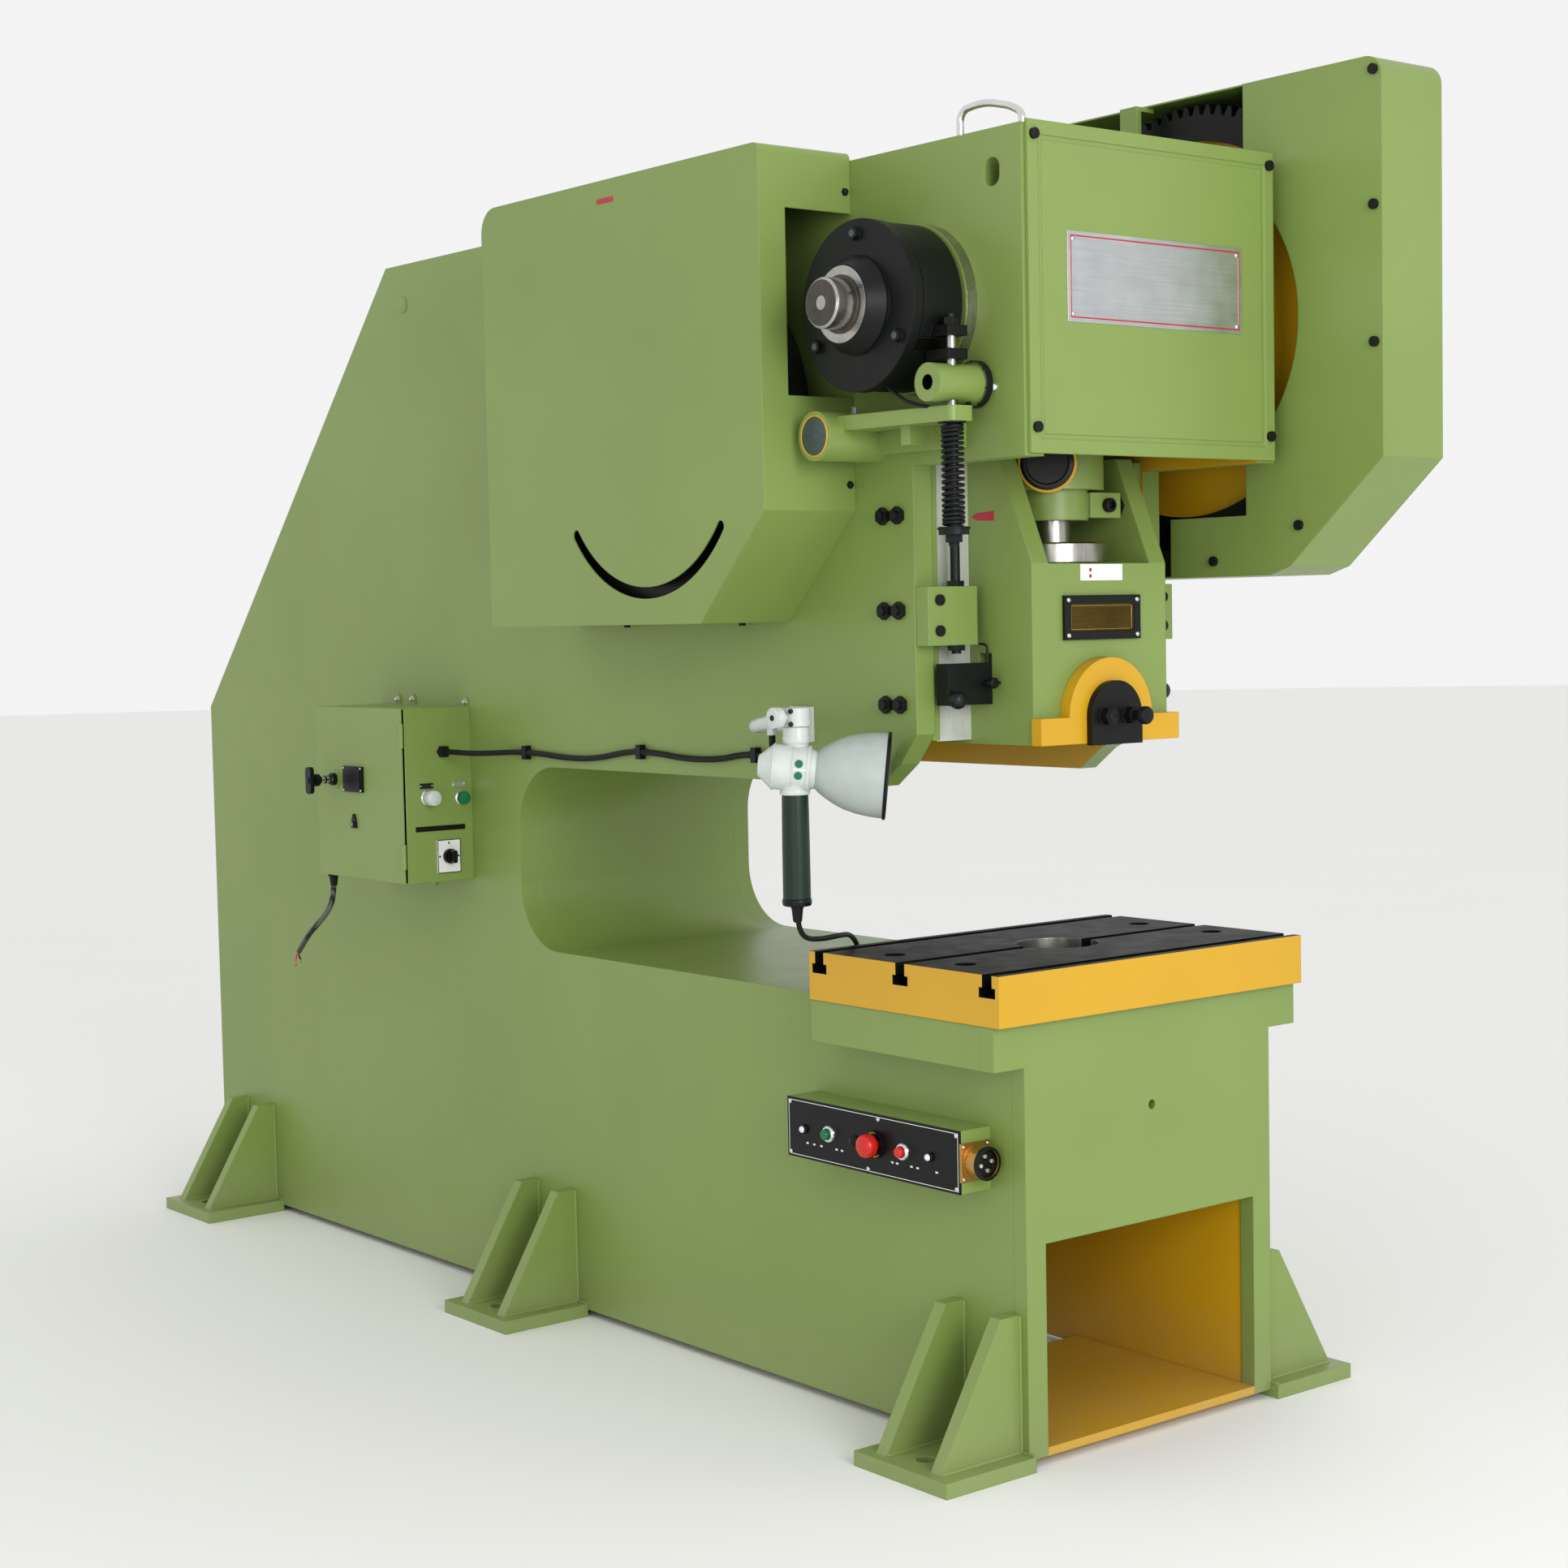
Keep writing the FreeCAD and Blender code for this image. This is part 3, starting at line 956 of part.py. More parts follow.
def motor():
    """Motor body on its feet, and the shelf between the cheeks that carries it."""
    end = MOTOR_LEFT_X + MOTOR_LENGTH
    body = rod_x(MOTOR_LEFT_X, end, MOTOR_Y, MOTOR_Z, MOTOR_R)
    foot_top = MOTOR_Z - MOTOR_R + 25
    feet = box(MOTOR_LEFT_X + 50, end - 50, MOTOR_Y - 105, MOTOR_Y + 105, foot_top - 45, foot_top)
    case = body.fuse(feet).removeSplitter()
    case = case.cut(rod_x(MOTOR_LEFT_X - 1, end - 40, MOTOR_Y, MOTOR_Z, MOTOR_SHAFT_R + RUNNING))
    shelf = box(-INNER, INNER, MOTOR_Y - 130, MOTOR_Y + 130, foot_top - 65, foot_top - 45)
    return case, shelf


def motor_pulley():
    """Pulley, and the rotor shaft that carries it."""
    wheel = grooved(PULLEY_R, MOTOR_Y, MOTOR_Z, MOTOR_SHAFT_R)
    shaft = rod_x(FLYWHEEL_X[0], MOTOR_LEFT_X + MOTOR_LENGTH - 60, MOTOR_Y, MOTOR_Z, MOTOR_SHAFT_R)
    return wheel, shaft


# ================================================================ guards
def left_guard():
    """Sheet guard over the flywheel and belts, with a front window and a curved vent slot."""
    (y0, y1), (z0, z1) = GUARD_Y, GUARD_Z
    cy, cz = GUARD_CHAMFER
    shape = [(y0, z0 + cz), (y0 + cy, z0), (y1, z0, 12), (y1, z1, 45), (y0, z1, 12)]
    outer = Part.Wire(outline(shape))
    inner = outer.makeOffset2D(-SHEET)
    shell = slab_x(shape, GUARD_LEFT_X, -HALF_WIDTH)
    hollow = Part.Face(inner).extrude(Vector(0, 0, -HALF_WIDTH - GUARD_LEFT_X))
    hollow.Placement = FreeCAD.Placement(
        FreeCAD.Matrix(0, 0, 1, GUARD_LEFT_X + SHEET, 1, 0, 0, 0, 0, 1, 0, 0))
    shell = shell.cut(hollow)
    shell = shell.cut(box(WINDOW_X[0], WINDOW_X[1], y0 - 1, y0 + SHEET + 1, WINDOW_Z[0], WINDOW_Z[1]))
    band = ring_x(GUARD_LEFT_X - 1, GUARD_LEFT_X + SHEET + 1, DRIVE_SHAFT_Y, DRIVE_SHAFT_Z,
                  VENT_R + VENT_WIDTH / 2, VENT_R - VENT_WIDTH / 2)
    reach = 2 * VENT_R
    side = reach * math.sin(math.radians(VENT_ANGLE))
    drop = reach * math.cos(math.radians(VENT_ANGLE))
    wedge = slab_x([(DRIVE_SHAFT_Y, DRIVE_SHAFT_Z), (DRIVE_SHAFT_Y - side, DRIVE_SHAFT_Z - drop),
                    (DRIVE_SHAFT_Y, DRIVE_SHAFT_Z - 2 * reach),
                    (DRIVE_SHAFT_Y + side, DRIVE_SHAFT_Z - drop)], GUARD_LEFT_X - 1, -HALF_WIDTH)
    slot = band.common(wedge)
    for sign in (-1, 1):
        slot = slot.fuse(rod_x(GUARD_LEFT_X - 1, GUARD_LEFT_X + SHEET + 1,
                               DRIVE_SHAFT_Y + sign * side / 2, DRIVE_SHAFT_Z - drop / 2, VENT_WIDTH / 2))
    return shell.cut(slot)


def gear_guard_outline():
    (y0, y1), (z0, z1) = GEAR_GUARD_Y, GEAR_GUARD_Z
    return [(y0, z0 + 187), (y0 + 196, z0 + 14), (y0 + 240, z0), (y1 - 60, z0), (y1, z0 + 60),
            (y1, z1 - 260), (y1 - 260, z1), (y0, z1, 34)]


def bent_runs(shape, points):
    """Splits a bent sheet, seen along X, at the bends of its outline, into the flat runs between them."""
    low = min(p[0] for p in points), min(p[1] for p in points)
    high = max(p[0] for p in points), max(p[1] for p in points)
    middle = Vector((low[0] + high[0]) / 2, (low[1] + high[1]) / 2, 0)
    bounds = shape.BoundBox
    runs = []
    for here, following in zip(points, points[1:] + points[:1]):
        far = [middle + (Vector(p[0], p[1], 0) - middle) * 1.5 for p in (here, following)]
        wedge = slab_x([(p.x, p.y) for p in [middle] + far], bounds.XMin - 1, bounds.XMax + 1)
        runs.append(shape.common(wedge))
    return runs


def right_guard():
    """Sheet guard over the gear: an outer sheet, a rim welded up from flat runs, and an inner wall that covers
    only the front, round the crank bearing."""
    low, high = GEAR_GUARD_X
    shape = gear_guard_outline()
    outer = slab_x(shape, high - SHEET, high)
    inner = Part.Wire(outline(shape)).makeOffset2D(-SHEET)
    hollow = Part.Face(inner).extrude(Vector(0, 0, high - low))
    hollow.Placement = FreeCAD.Placement(FreeCAD.Matrix(0, 0, 1, low, 1, 0, 0, 0, 0, 1, 0, 0))
    rim = slab_x(shape, low + SHEET, high - SHEET).cut(hollow)
    lip_y, lip_z, low_y = GEAR_GUARD_LIP
    wall = slab_x(shape, low, low + SHEET)
    behind = slab_x([(lip_y, lip_z), (low_y, lip_z), (low_y, GEAR_GUARD_Z[0] + SHEET),
                     (GEAR_GUARD_Y[1] + 1, GEAR_GUARD_Z[0] + SHEET), (GEAR_GUARD_Y[1] + 1, GEAR_GUARD_Z[1] + 1),
                     (lip_y, GEAR_GUARD_Z[1] + 1)], low - 1, low + SHEET + 1)
    wall = wall.cut(behind).cut(
        rod_x(low - 1, low + SHEET + 1, RAM_Y, CRANK_Z, GEAR_GUARD_CUT_R))
    return [outer, wall] + bent_runs(rim, shape)


def guard_brackets():
    """Bars on the right cheek that carry the gear guard's top and bottom walls."""
    bars = []
    for y in GUARD_BRACKET_Y:
        top = GEAR_GUARD_Z[1] - SHEET
        bars.append(box(HALF_WIDTH, HALF_WIDTH + 12, y, y + 40, TOP_Z - 120, top).fuse(
            box(HALF_WIDTH, GEAR_GUARD_X[0] + 20, y, y + 40, top - 8, top)).removeSplitter())
        bottom = GEAR_GUARD_Z[0] + SHEET
        bars.append(box(HALF_WIDTH, GEAR_GUARD_X[0] + 20, y, y + 40, bottom, bottom + 10))
    return bars


# ================================================================ control box on the left cheek
def control_box():
    """Sheet box open to the left, with a gland on its front face."""
    (x0, x1), (y0, y1), (z0, z1) = BOX_X, BOX_Y, BOX_Z
    wall = DOOR_THICK
    shell = box(x0, x1, y0, y1, z0, z1).cut(box(x0 - 1, x1 - wall, y0 + wall, y1 - wall, z0 + wall, z1 - wall))
    gland = hex_rod(Vector(GLAND[0], y0, GLAND[1]), Vector(0, -1, 0), 22, 14)
    plate = box(SELECTOR[0] - 27, SELECTOR[0] + 27, y0 - 3, y0, SELECTOR[1] - 34, SELECTOR[1] + 34)
    strip = box(x0 + 20, x1 - 20, y0 - 2, y0, 926, 936)
    shell = shell.fuse([gland, plate, strip]).removeSplitter()
    for x, z, r in (STOP_BUTTON, START_BUTTON, SELECTOR):
        shell = shell.cut(rod_y(y0 - 5, y0 + wall + 1, x, z, r * 0.5 + SEAT))
    return shell


def box_door():
    """Lid on the box's open side, hinged along its front edge."""
    (x0, _), (y0, y1), (z0, z1) = BOX_X, BOX_Y, BOX_Z
    left = x0 - SEAT
    door = box(left - DOOR_THICK, left, y0 + 8, y1 + 2, z0, z1)
    knuckles = [rod_z(z, z + 50, left - HINGE_R, y0 + HINGE_R, HINGE_R) for z in (z0 + 30, z1 - 80)]
    boss = rod_x(left - DOOR_THICK - 3, left - DOOR_THICK, HANDLE_AT[0], HANDLE_AT[1], 20)
    door = door.fuse(knuckles + [boss]).removeSplitter()
    return door.cut(rod_x(left - 20, left + 1, HANDLE_AT[0], HANDLE_AT[1], 9))


def isolator_handle():
    """Isolator's long shaft with its collar and T grip, which turns on the door."""
    face = BOX_X[0] - SEAT - DOOR_THICK - 3 - SIDE_GAP
    stem = rod_x(face - 60, face, HANDLE_AT[0], HANDLE_AT[1], 7)
    skirt = rod_x(face - 8, face, HANDLE_AT[0], HANDLE_AT[1], 13)
    collar = rod_x(face - 48, face - 38, HANDLE_AT[0], HANDLE_AT[1], 13)
    corners = ((-11, -28), (11, -28), (11, 28), (-11, 28))
    grip = slab_x([(HANDLE_AT[0] + a, HANDLE_AT[1] + b, 9) for a, b in corners], face - 62, face - 53)
    spindle = rod_x(face, face + 5 + SIDE_GAP, HANDLE_AT[0], HANDLE_AT[1], 9 - RUNNING)
    return stem.fuse([skirt, collar, grip, spindle]).removeSplitter()


def switchgear():
    """Backplate with the isolator and contactors, inside the box."""
    x1 = BOX_X[1] - DOOR_THICK
    plate = box(x1 - 4, x1, BOX_Y[0] + 40, BOX_Y[1] - 30, BOX_Z[0] + 40, BOX_Z[1] - 40)
    isolator = box(x1 - 90, x1 - 4, HANDLE_AT[0] - 45, HANDLE_AT[0] + 45, HANDLE_AT[1] - 50, HANDLE_AT[1] + 50)
    rail = [box(x1 - 70, x1 - 4, BOX_Y[0] + 60 + i * 60, BOX_Y[0] + 110 + i * 60, BOX_Z[0] + 60, BOX_Z[0] + 130)
            for i in range(4)]
    return plate.fuse([isolator] + rail).removeSplitter()


def mushroom(x, z, r, out):
    """Push button on the box's front face: head, stem through the wall and retaining ring."""
    y0 = BOX_Y[0]
    gap = BUTTON_TRAVEL + 1
    head = rod_y(y0 - out, y0 - gap, x, z, r)
    stem = rod_y(y0 - gap, y0 + 22, x, z, r * 0.5)
    ring = rod_y(y0 + DOOR_THICK + SIDE_GAP, y0 + DOOR_THICK + 4, x, z, r * 0.5 + 4)
    return head.fuse([stem, ring]).removeSplitter()


def selector_knob():
    """Rotary mode switch with a bar grip."""
    x, z, r = SELECTOR
    y0 = BOX_Y[0] - 3 - SIDE_GAP
    skirt = rod_y(y0 - 8, y0, x, z, r)
    grip = slab_y([(x - 5, z - r + 2, 4), (x + 5, z - r + 2, 4), (x + 5, z + r - 2, 4), (x - 5, z + r - 2, 4)],
                  y0 - 24, y0 - 8)
    stem = rod_y(y0, BOX_Y[0] + 22, x, z, r * 0.5)
    ring = rod_y(BOX_Y[0] + DOOR_THICK + SIDE_GAP, BOX_Y[0] + DOOR_THICK + 4, x, z, r * 0.5 + 4)
    return skirt.fuse([grip, stem, ring]).removeSplitter()


# ================================================================ console on the bed
def console_box():
    """Long low box on the left cheek, under the table."""
    (y0, y1), (z0, z1) = CONSOLE_Y, CONSOLE_Z
    body = box(CONSOLE_X, -HALF_WIDTH, y0, y1, z0, z1)
    return body.cut(box(CONSOLE_X - 1, -HALF_WIDTH - 4, y0 + 4, y1 - 4, z0 + 4, z1 - 4))


def console_panel():
    """Face plate with bezels and two fixed caps, bored for the three buttons."""
    (y0, y1), (z0, z1) = CONSOLE_Y, CONSOLE_Z
    left = CONSOLE_X - FIT
    panel = box(left - 3, left, y0, y1, z0, z1)
    middle = EMERGENCY[1]
    spots = [EMERGENCY, RUN_BUTTON, INCH_BUTTON]
    rims = [rod_x(left - 8, left - 3, y, z, r + 4) for y, z, r in spots]
    caps = [rod_x(left - 9, left - 3, y, middle, 6) for y in (y0 + 70, y1 - 46)]
    panel = panel.fuse(rims + caps)
    for y, z, r in spots:
        panel = panel.cut(rod_x(left - 9, left + 1, y, z, r * 0.6 + SEAT))
        panel = panel.cut(rod_x(left - 9, left - 4, y, z, r + 2))
    return panel.removeSplitter()


def console_button(place, out, travel):
    """Button in the console's panel, pressed along +X."""
    y, z, r = place
    face = CONSOLE_X - FIT - 4
    head = rod_x(face - out, face - travel - 1, y, z, r)
    stem = rod_x(face - travel - 1, CONSOLE_X + 30, y, z, r * 0.6)
    ring = rod_x(CONSOLE_X + SIDE_GAP, CONSOLE_X + 4, y, z, r * 0.6 + 4)
    return head.fuse([stem, ring]).removeSplitter()


def console_socket():
    """Round plug socket on the console's front end, with four contacts."""
    x, z, r = SOCKET
    y0 = CONSOLE_Y[0]
    flange = box(x - r - 4, x + r + 4, y0 - 5, y0, z - r - 4, z + r + 4)
    shell = rod_y(y0 - 33, y0, x, z, r).fuse(flange)
    shell = shell.cut(rod_y(y0 - 34, y0 - 8, x, z, r - 5))
    pins = [rod_y(y0 - 26, y0 - 8, x + 11 * a, z + 11 * b, 3) for a, b in ((1, 1), (1, -1), (-1, 1), (-1, -1))]
    return shell.fuse(pins).removeSplitter()


# ================================================================ lamp
def lamp_cable():
    """Supply cable from the box's gland, clipped along the cheek to the lamp's joint."""
    x = CABLE_X
    run = [(GLAND[0], BOX_Y[0] - 14, GLAND[1]), (GLAND[0], 1574, GLAND[1]),
           (GLAND[0] + 12, 1536, GLAND[1] - 2), (GLAND[0] + 40, 1492, CLIP_Z[0] - 2)]
    for y, z, sag in zip(CLIP_Y, CLIP_Z, (7, 9, 0)):
        run += [(x, y + CLIP_RUN, z), (x, y - CLIP_RUN, z)]
        if sag:
            run += [(x - 2, y - 145, z - sag), (x - 2, y - 245, z - sag + 2)]
    end = LAMP_JOINT[0]
    run += [(x - 10, 592, CLIP_Z[2] - 11), (x - 48, 542, CLIP_Z[2] - 31), (x - 98, 492, CLIP_Z[2] - 38),
            (end + 14, 454, CLIP_Z[2] - 20), (end, LAMP_GLAND[0], CLIP_Z[2] + 12), (end, *LAMP_GLAND)]
    return tube(run, CABLE_R)


def cable_clips():
    """Saddles that hold the cable on the cheek, and the gland of the lamp's cord on the bed."""
    gx, gy, rise = LEAD_GLAND
    clips = [hex_rod(Vector(gx, gy, THROAT_FLOOR_Z), Vector(0, 0, 1), 20, rise)]
    for y, z in zip(CLIP_Y, CLIP_Z):
        pad = box(-HALF_WIDTH - 3 * CABLE_R, -HALF_WIDTH, y - 7, y + 7, z - 3 * CABLE_R, z + 3 * CABLE_R)
        clips.append(pad.cut(rod_y(y - 30, y + 30, CABLE_X, z, CABLE_R + SEAT)))
    return clips


def lamp_arm():
    """Wall plate and bent arm that end in the socket for the lamp's stem, with the cable's gland."""
    (y0, y1), (z0, z1) = LAMP_PLATE_Y, LAMP_PLATE_Z
    plate = box(-HALF_WIDTH - 6, -HALF_WIDTH, y0, y1, z0, z1)
    y, z = (y0 + y1) / 2, (z0 + z1) / 2
    joint = Vector(*LAMP_JOINT)
    middle = joint + Vector(0, 0, 21)
    arm = tube([(-HALF_WIDTH - 3, y, z), (joint.x, y - 30, z), tuple(middle)], 11)
    socket = Part.makeCylinder(24, 30, joint + Vector(0, 0, 6), Vector(0, 0, 1))
    stalk = Part.makeCylinder(7, 40, middle, Vector(-1, 0, 0))
    knob = Part.makeCylinder(17, 14, middle + Vector(-34, 0, 0), Vector(-1, 0, 0))
    gland = hex_rod(Vector(joint.x, LAMP_GLAND[0], LAMP_GLAND[1]), Vector(0, 0, 1), 16, 22)
    return plate.fuse([arm, socket, stalk, knob, gland]).removeSplitter()


def along_lamp(distance, radius, length, end_radius=None):
    """Cylinder or cone on the lamp's axis, starting a distance from the middle of its body."""
    aim = LAMP_AIM.normalize()
    start = LAMP_AT + aim * distance
    if end_radius is None:
        return Part.makeCylinder(radius, length, start, aim)
    return Part.makeCone(radius, end_radius, length, start, aim)


def lamp_head():
    """Lamp body: a domed housing along the beam, with the stem that turns in the arm's socket."""
    body = along_lamp(-36, 37, 62).fuse([along_lamp(-58, 18, 22, 37), along_lamp(26, 34, 10, 30)])
    joint = Vector(*LAMP_JOINT)
    neck = rod_z(LAMP_AT.z + 18, joint.z + 6 - SIDE_GAP, joint.x, joint.y, 20)
    collar = rod_z(HANDLE_TOP_Z + SIDE_GAP, LAMP_AT.z, LAMP_AT.x, LAMP_AT.y, HANDLE_R - 4)
    solid = body.fuse([neck, collar]).removeSplitter()
    return solid.cut(along_lamp(4, 22, 40))


def lamp_shade():
    """Bell shade, a thin shell open at the front."""
    ends = ((36, 31), (52, 42), (84, 60), (36 + SHADE_LENGTH, SHADE_R))
    outer = []
    inner = []
    for (d0, r0), (d1, r1) in zip(ends, ends[1:]):
        outer.append(along_lamp(d0, r0, d1 - d0, r1))
        inner.append(along_lamp(d0, r0 - SHEET, d1 - d0, r1 - SHEET))
    return outer[0].fuse(outer[1:]).cut(inner[0].fuse(inner[1:])).removeSplitter()


def lamp_bulb():
    """Bulb with its cap, seated in the lamp's body."""
    bulb = along_lamp(58, 12, 10, 26).fuse(Part.makeSphere(30, LAMP_AT + LAMP_AIM.normalize() * 84))
    cap = along_lamp(4, 22 - FIT, 56, 12)
    return bulb.fuse(cap).removeSplitter()


def lamp_handle():
    """Grip that hangs under the lamp's body."""
    grip = rod_z(HANDLE_BOTTOM_Z, HANDLE_TOP_Z, LAMP_AT.x, LAMP_AT.y, HANDLE_R)
    foot = rod_z(HANDLE_BOTTOM_Z, HANDLE_BOTTOM_Z + 16, LAMP_AT.x, LAMP_AT.y, HANDLE_R + 4)
    return grip.fuse(foot).removeSplitter()


def lamp_cord():
    """Cord that hangs from the grip, passes over the table's corner and goes down behind it into the bed."""
    x, y = LAMP_AT.x, LAMP_AT.y
    z = HANDLE_BOTTOM_Z
    gx, gy, rise = LEAD_GLAND
    end = THROAT_FLOOR_Z + rise
    over = TABLE_TOP_Z + 25
    run = [(x, y, z), (x, y, z - 32), (x + 22, y + 9, z - 57), (x + 76, y + 31, over + 2), (x + 136, y + 60, over),
           (gx - 66, gy - 49, over - 5), (gx - 26, gy - 19, over - 24), (gx, gy, end + 39), (gx, gy, end)]
    return tube(run, CABLE_R)


def supply_wires():
    """Supply cable out of the box's underside, down to the cheek's rear."""
    x, y, z = -428, BOX_Y[1] - 24, BOX_Z[0]
    run = [(x, y, z), (x, y, z - 48), (x - 2, y + 27, z - 84), (x - 5, y + 66, z - 112),
           (x - 8, y + 108, z - 140), (x - 10, y + 146, z - 178)]
    return tube(run, SUPPLY_R)


def lube_pipe():
    """Bent steel oil pipe on the head's top, along its left edge."""
    x, y, z = -HALF_WIDTH + 18, 150, TOP_Z
    run = [(x, y, z), (x, y, z + 42), (x + 3, y - 54, z + 48), (x + 7, y - 108, z + 34), (x + 8, y - 132, z + 20),
           (x + 8, y - 132, z)]
    return tube(run, OIL_PIPE_R)


# ================================================================ the nodes
def frame_nodes():
    save("left_side_plate", side_plate(-1))
    save("right_side_plate", side_plate(1))
    save("frame_walls", *frame_walls())
    save("front_plate", front_plate())
    save("chute_floor", box(-CHUTE_HALF_WIDTH, CHUTE_HALF_WIDTH, FRONT_Y, FRONT_Y + CHUTE_FLOOR_LENGTH,
                            0, CHUTE_FLOOR))
    centres = [FOOT_CENTRE_Y + i * FOOT_PITCH for i in (-1, 0, 1)]
    save("feet", *[foot(sign, y) for sign in (-1, 1) for y in centres])
    save("head_cover", head_cover())
    save("cover_screws", *cover_screws())
    save("crank_bushes", crank_bush(-1), crank_bush(1))
    save("shaft_bearings", shaft_bearing(-1), shaft_bearing(1))
    save("table", table())
    save("table_bolts", *table_bolts())
    save("gibs", gib(-1), gib(1))
    save("gib_screws", *gib_screws())
    save("knockout_stops", knockout_stop(-1), knockout_stop(1))
    save("left_guard", left_guard())
    save("right_guard", *right_guard(), *guard_brackets())
    save("lube_pipe", lube_pipe())


def ram_nodes():
    save("ram", ram())
    save("shank_clamp", shank_clamp())
    save("clamp_plate", *clamp_plate())
    save("ball_screw", ball_screw())
    save("ring_nut", ring_nut())
    save("connecting_rod", *connecting_rod())
    save("knockout_bar", knockout_bar())


def drive_nodes():
    save("crankshaft", crankshaft(), crank_collar())
    save("brake_drum", brake_drum())
    save("brake_band", *brake_band())
    save("brake_rod", brake_rod())
    save("brake_spring", brake_spring())
    save("brake_bracket", *brake_bracket())
    save("bull_gear", bull_gear())
    save("pinion", pinion())
    save("drive_shaft", drive_shaft())
    save("flywheel", flywheel())
    save("drive_belts", *drive_belts())
    save("motor", *motor())
    save("motor_pulley", *motor_pulley())


def fitting_nodes():
    save("control_box", control_box())
    save("box_door", box_door())
    save("isolator_handle", isolator_handle())
    save("switchgear", switchgear())
    save("stop_button", mushroom(*STOP_BUTTON, 30))
    save("start_button", mushroom(*START_BUTTON, 18))
    save("selector_knob", selector_knob())
    save("supply_wires", supply_wires())
    save("console_box", console_box())
    save("console_panel", console_panel())
    save("emergency_stop", console_button(EMERGENCY, 30, 6))
    save("run_button", console_button(RUN_BUTTON, 14, 4))
    save("inch_button", console_button(INCH_BUTTON, 14, 4))
    save("console_socket", console_socket())
    save("lamp_cable", lamp_cable())
    save("cable_clips", *cable_clips())
    save("lamp_arm", lamp_arm())
    save("lamp_head", lamp_head())
    save("lamp_shade", lamp_shade())
    save("lamp_bulb", lamp_bulb())
    save("lamp_handle", lamp_handle())
    save("lamp_cord", lamp_cord())


os.makedirs("parts", exist_ok=True)
frame_nodes()
ram_nodes()
drive_nodes()
fitting_nodes()
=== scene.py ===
"""Looks of the deep-throat stamping press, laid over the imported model.

It gives every part its finish, adds what is too fine for the solids (plates, scales, the coiled spring, screws,
weld beads, leads), and sets the floor, the light and the camera. Shapes are given in millimetres: X to the
operator's right from the middle, Y from the table's front edge back through the throat, Z from the frame's
underside. at() turns them into the model's metres.
"""
import json
import math

import bmesh
import bpy
from mathutils import Matrix, Vector


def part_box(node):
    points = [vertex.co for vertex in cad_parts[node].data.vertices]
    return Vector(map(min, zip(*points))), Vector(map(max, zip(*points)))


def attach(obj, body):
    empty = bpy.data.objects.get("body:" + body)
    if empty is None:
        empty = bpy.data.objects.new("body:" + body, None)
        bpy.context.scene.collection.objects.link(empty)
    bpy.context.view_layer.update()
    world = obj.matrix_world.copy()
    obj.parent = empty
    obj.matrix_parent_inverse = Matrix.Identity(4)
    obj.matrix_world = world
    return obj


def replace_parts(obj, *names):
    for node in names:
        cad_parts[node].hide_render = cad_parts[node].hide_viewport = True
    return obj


MM = 0.001

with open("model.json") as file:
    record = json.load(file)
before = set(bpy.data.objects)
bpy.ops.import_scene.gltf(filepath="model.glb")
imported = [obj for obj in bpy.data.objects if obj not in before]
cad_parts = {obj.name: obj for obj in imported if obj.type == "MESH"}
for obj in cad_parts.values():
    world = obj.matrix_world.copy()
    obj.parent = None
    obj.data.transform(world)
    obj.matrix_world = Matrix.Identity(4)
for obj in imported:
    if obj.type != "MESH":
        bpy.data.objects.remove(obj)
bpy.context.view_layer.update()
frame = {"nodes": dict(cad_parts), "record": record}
nodes = frame["nodes"]


# ================================================================ shader helpers
def linear(hex_colour):
    """An sRGB hex colour as the linear RGBA that shaders use."""
    channels = [int(hex_colour[i:i + 2], 16) / 255 for i in (0, 2, 4)]
    return [c / 12.92 if c <= 0.04045 else ((c + 0.055) / 1.055) ** 2.4 for c in channels] + [1.0]


def per_mm(size):
    """Noise scale whose features are about that many millimetres wide."""
    return 1 / (size * MM)


def add(tree, kind, inputs=None, **settings):
    """Adds a shader node. settings are its own properties; inputs takes values, or outputs to link from."""
    node = tree.nodes.new(kind)
    for key, value in settings.items():
        setattr(node, key, value)
    for key, value in (inputs or {}).items():
        if isinstance(value, bpy.types.NodeSocket):
            tree.links.new(value, node.inputs[key])
        else:
            node.inputs[key].default_value = value
    return node


def start(name, **fixed):
    """New material: its tree, its shader with the fixed inputs set, and the object coordinates."""
    material = bpy.data.materials.new(name)
    material.use_nodes = True
    tree = material.node_tree
    shader = tree.nodes["Principled BSDF"]
    for key, value in fixed.items():
        shader.inputs[key.replace("_", " ")].default_value = value
    place = add(tree, "ShaderNodeTexCoord").outputs["Object"]
    return material, tree, shader, place


def rounded_normal(tree, radius_mm):
    """Normal of an edge rounded by the coat or a file, and how near an edge a point is, from 0 to 1."""
    bevel = add(tree, "ShaderNodeBevel", {"Radius": radius_mm * MM}, samples=4)
    true = add(tree, "ShaderNodeNewGeometry").outputs["Normal"]
    same = add(tree, "ShaderNodeVectorMath", {0: bevel.outputs[0], 1: true}, operation="DOT_PRODUCT")
    near = add(tree, "ShaderNodeMapRange", {"Value": same.outputs["Value"], "From Min": 1.0, "From Max": 0.86})
    return bevel.outputs[0], near.outputs[0]


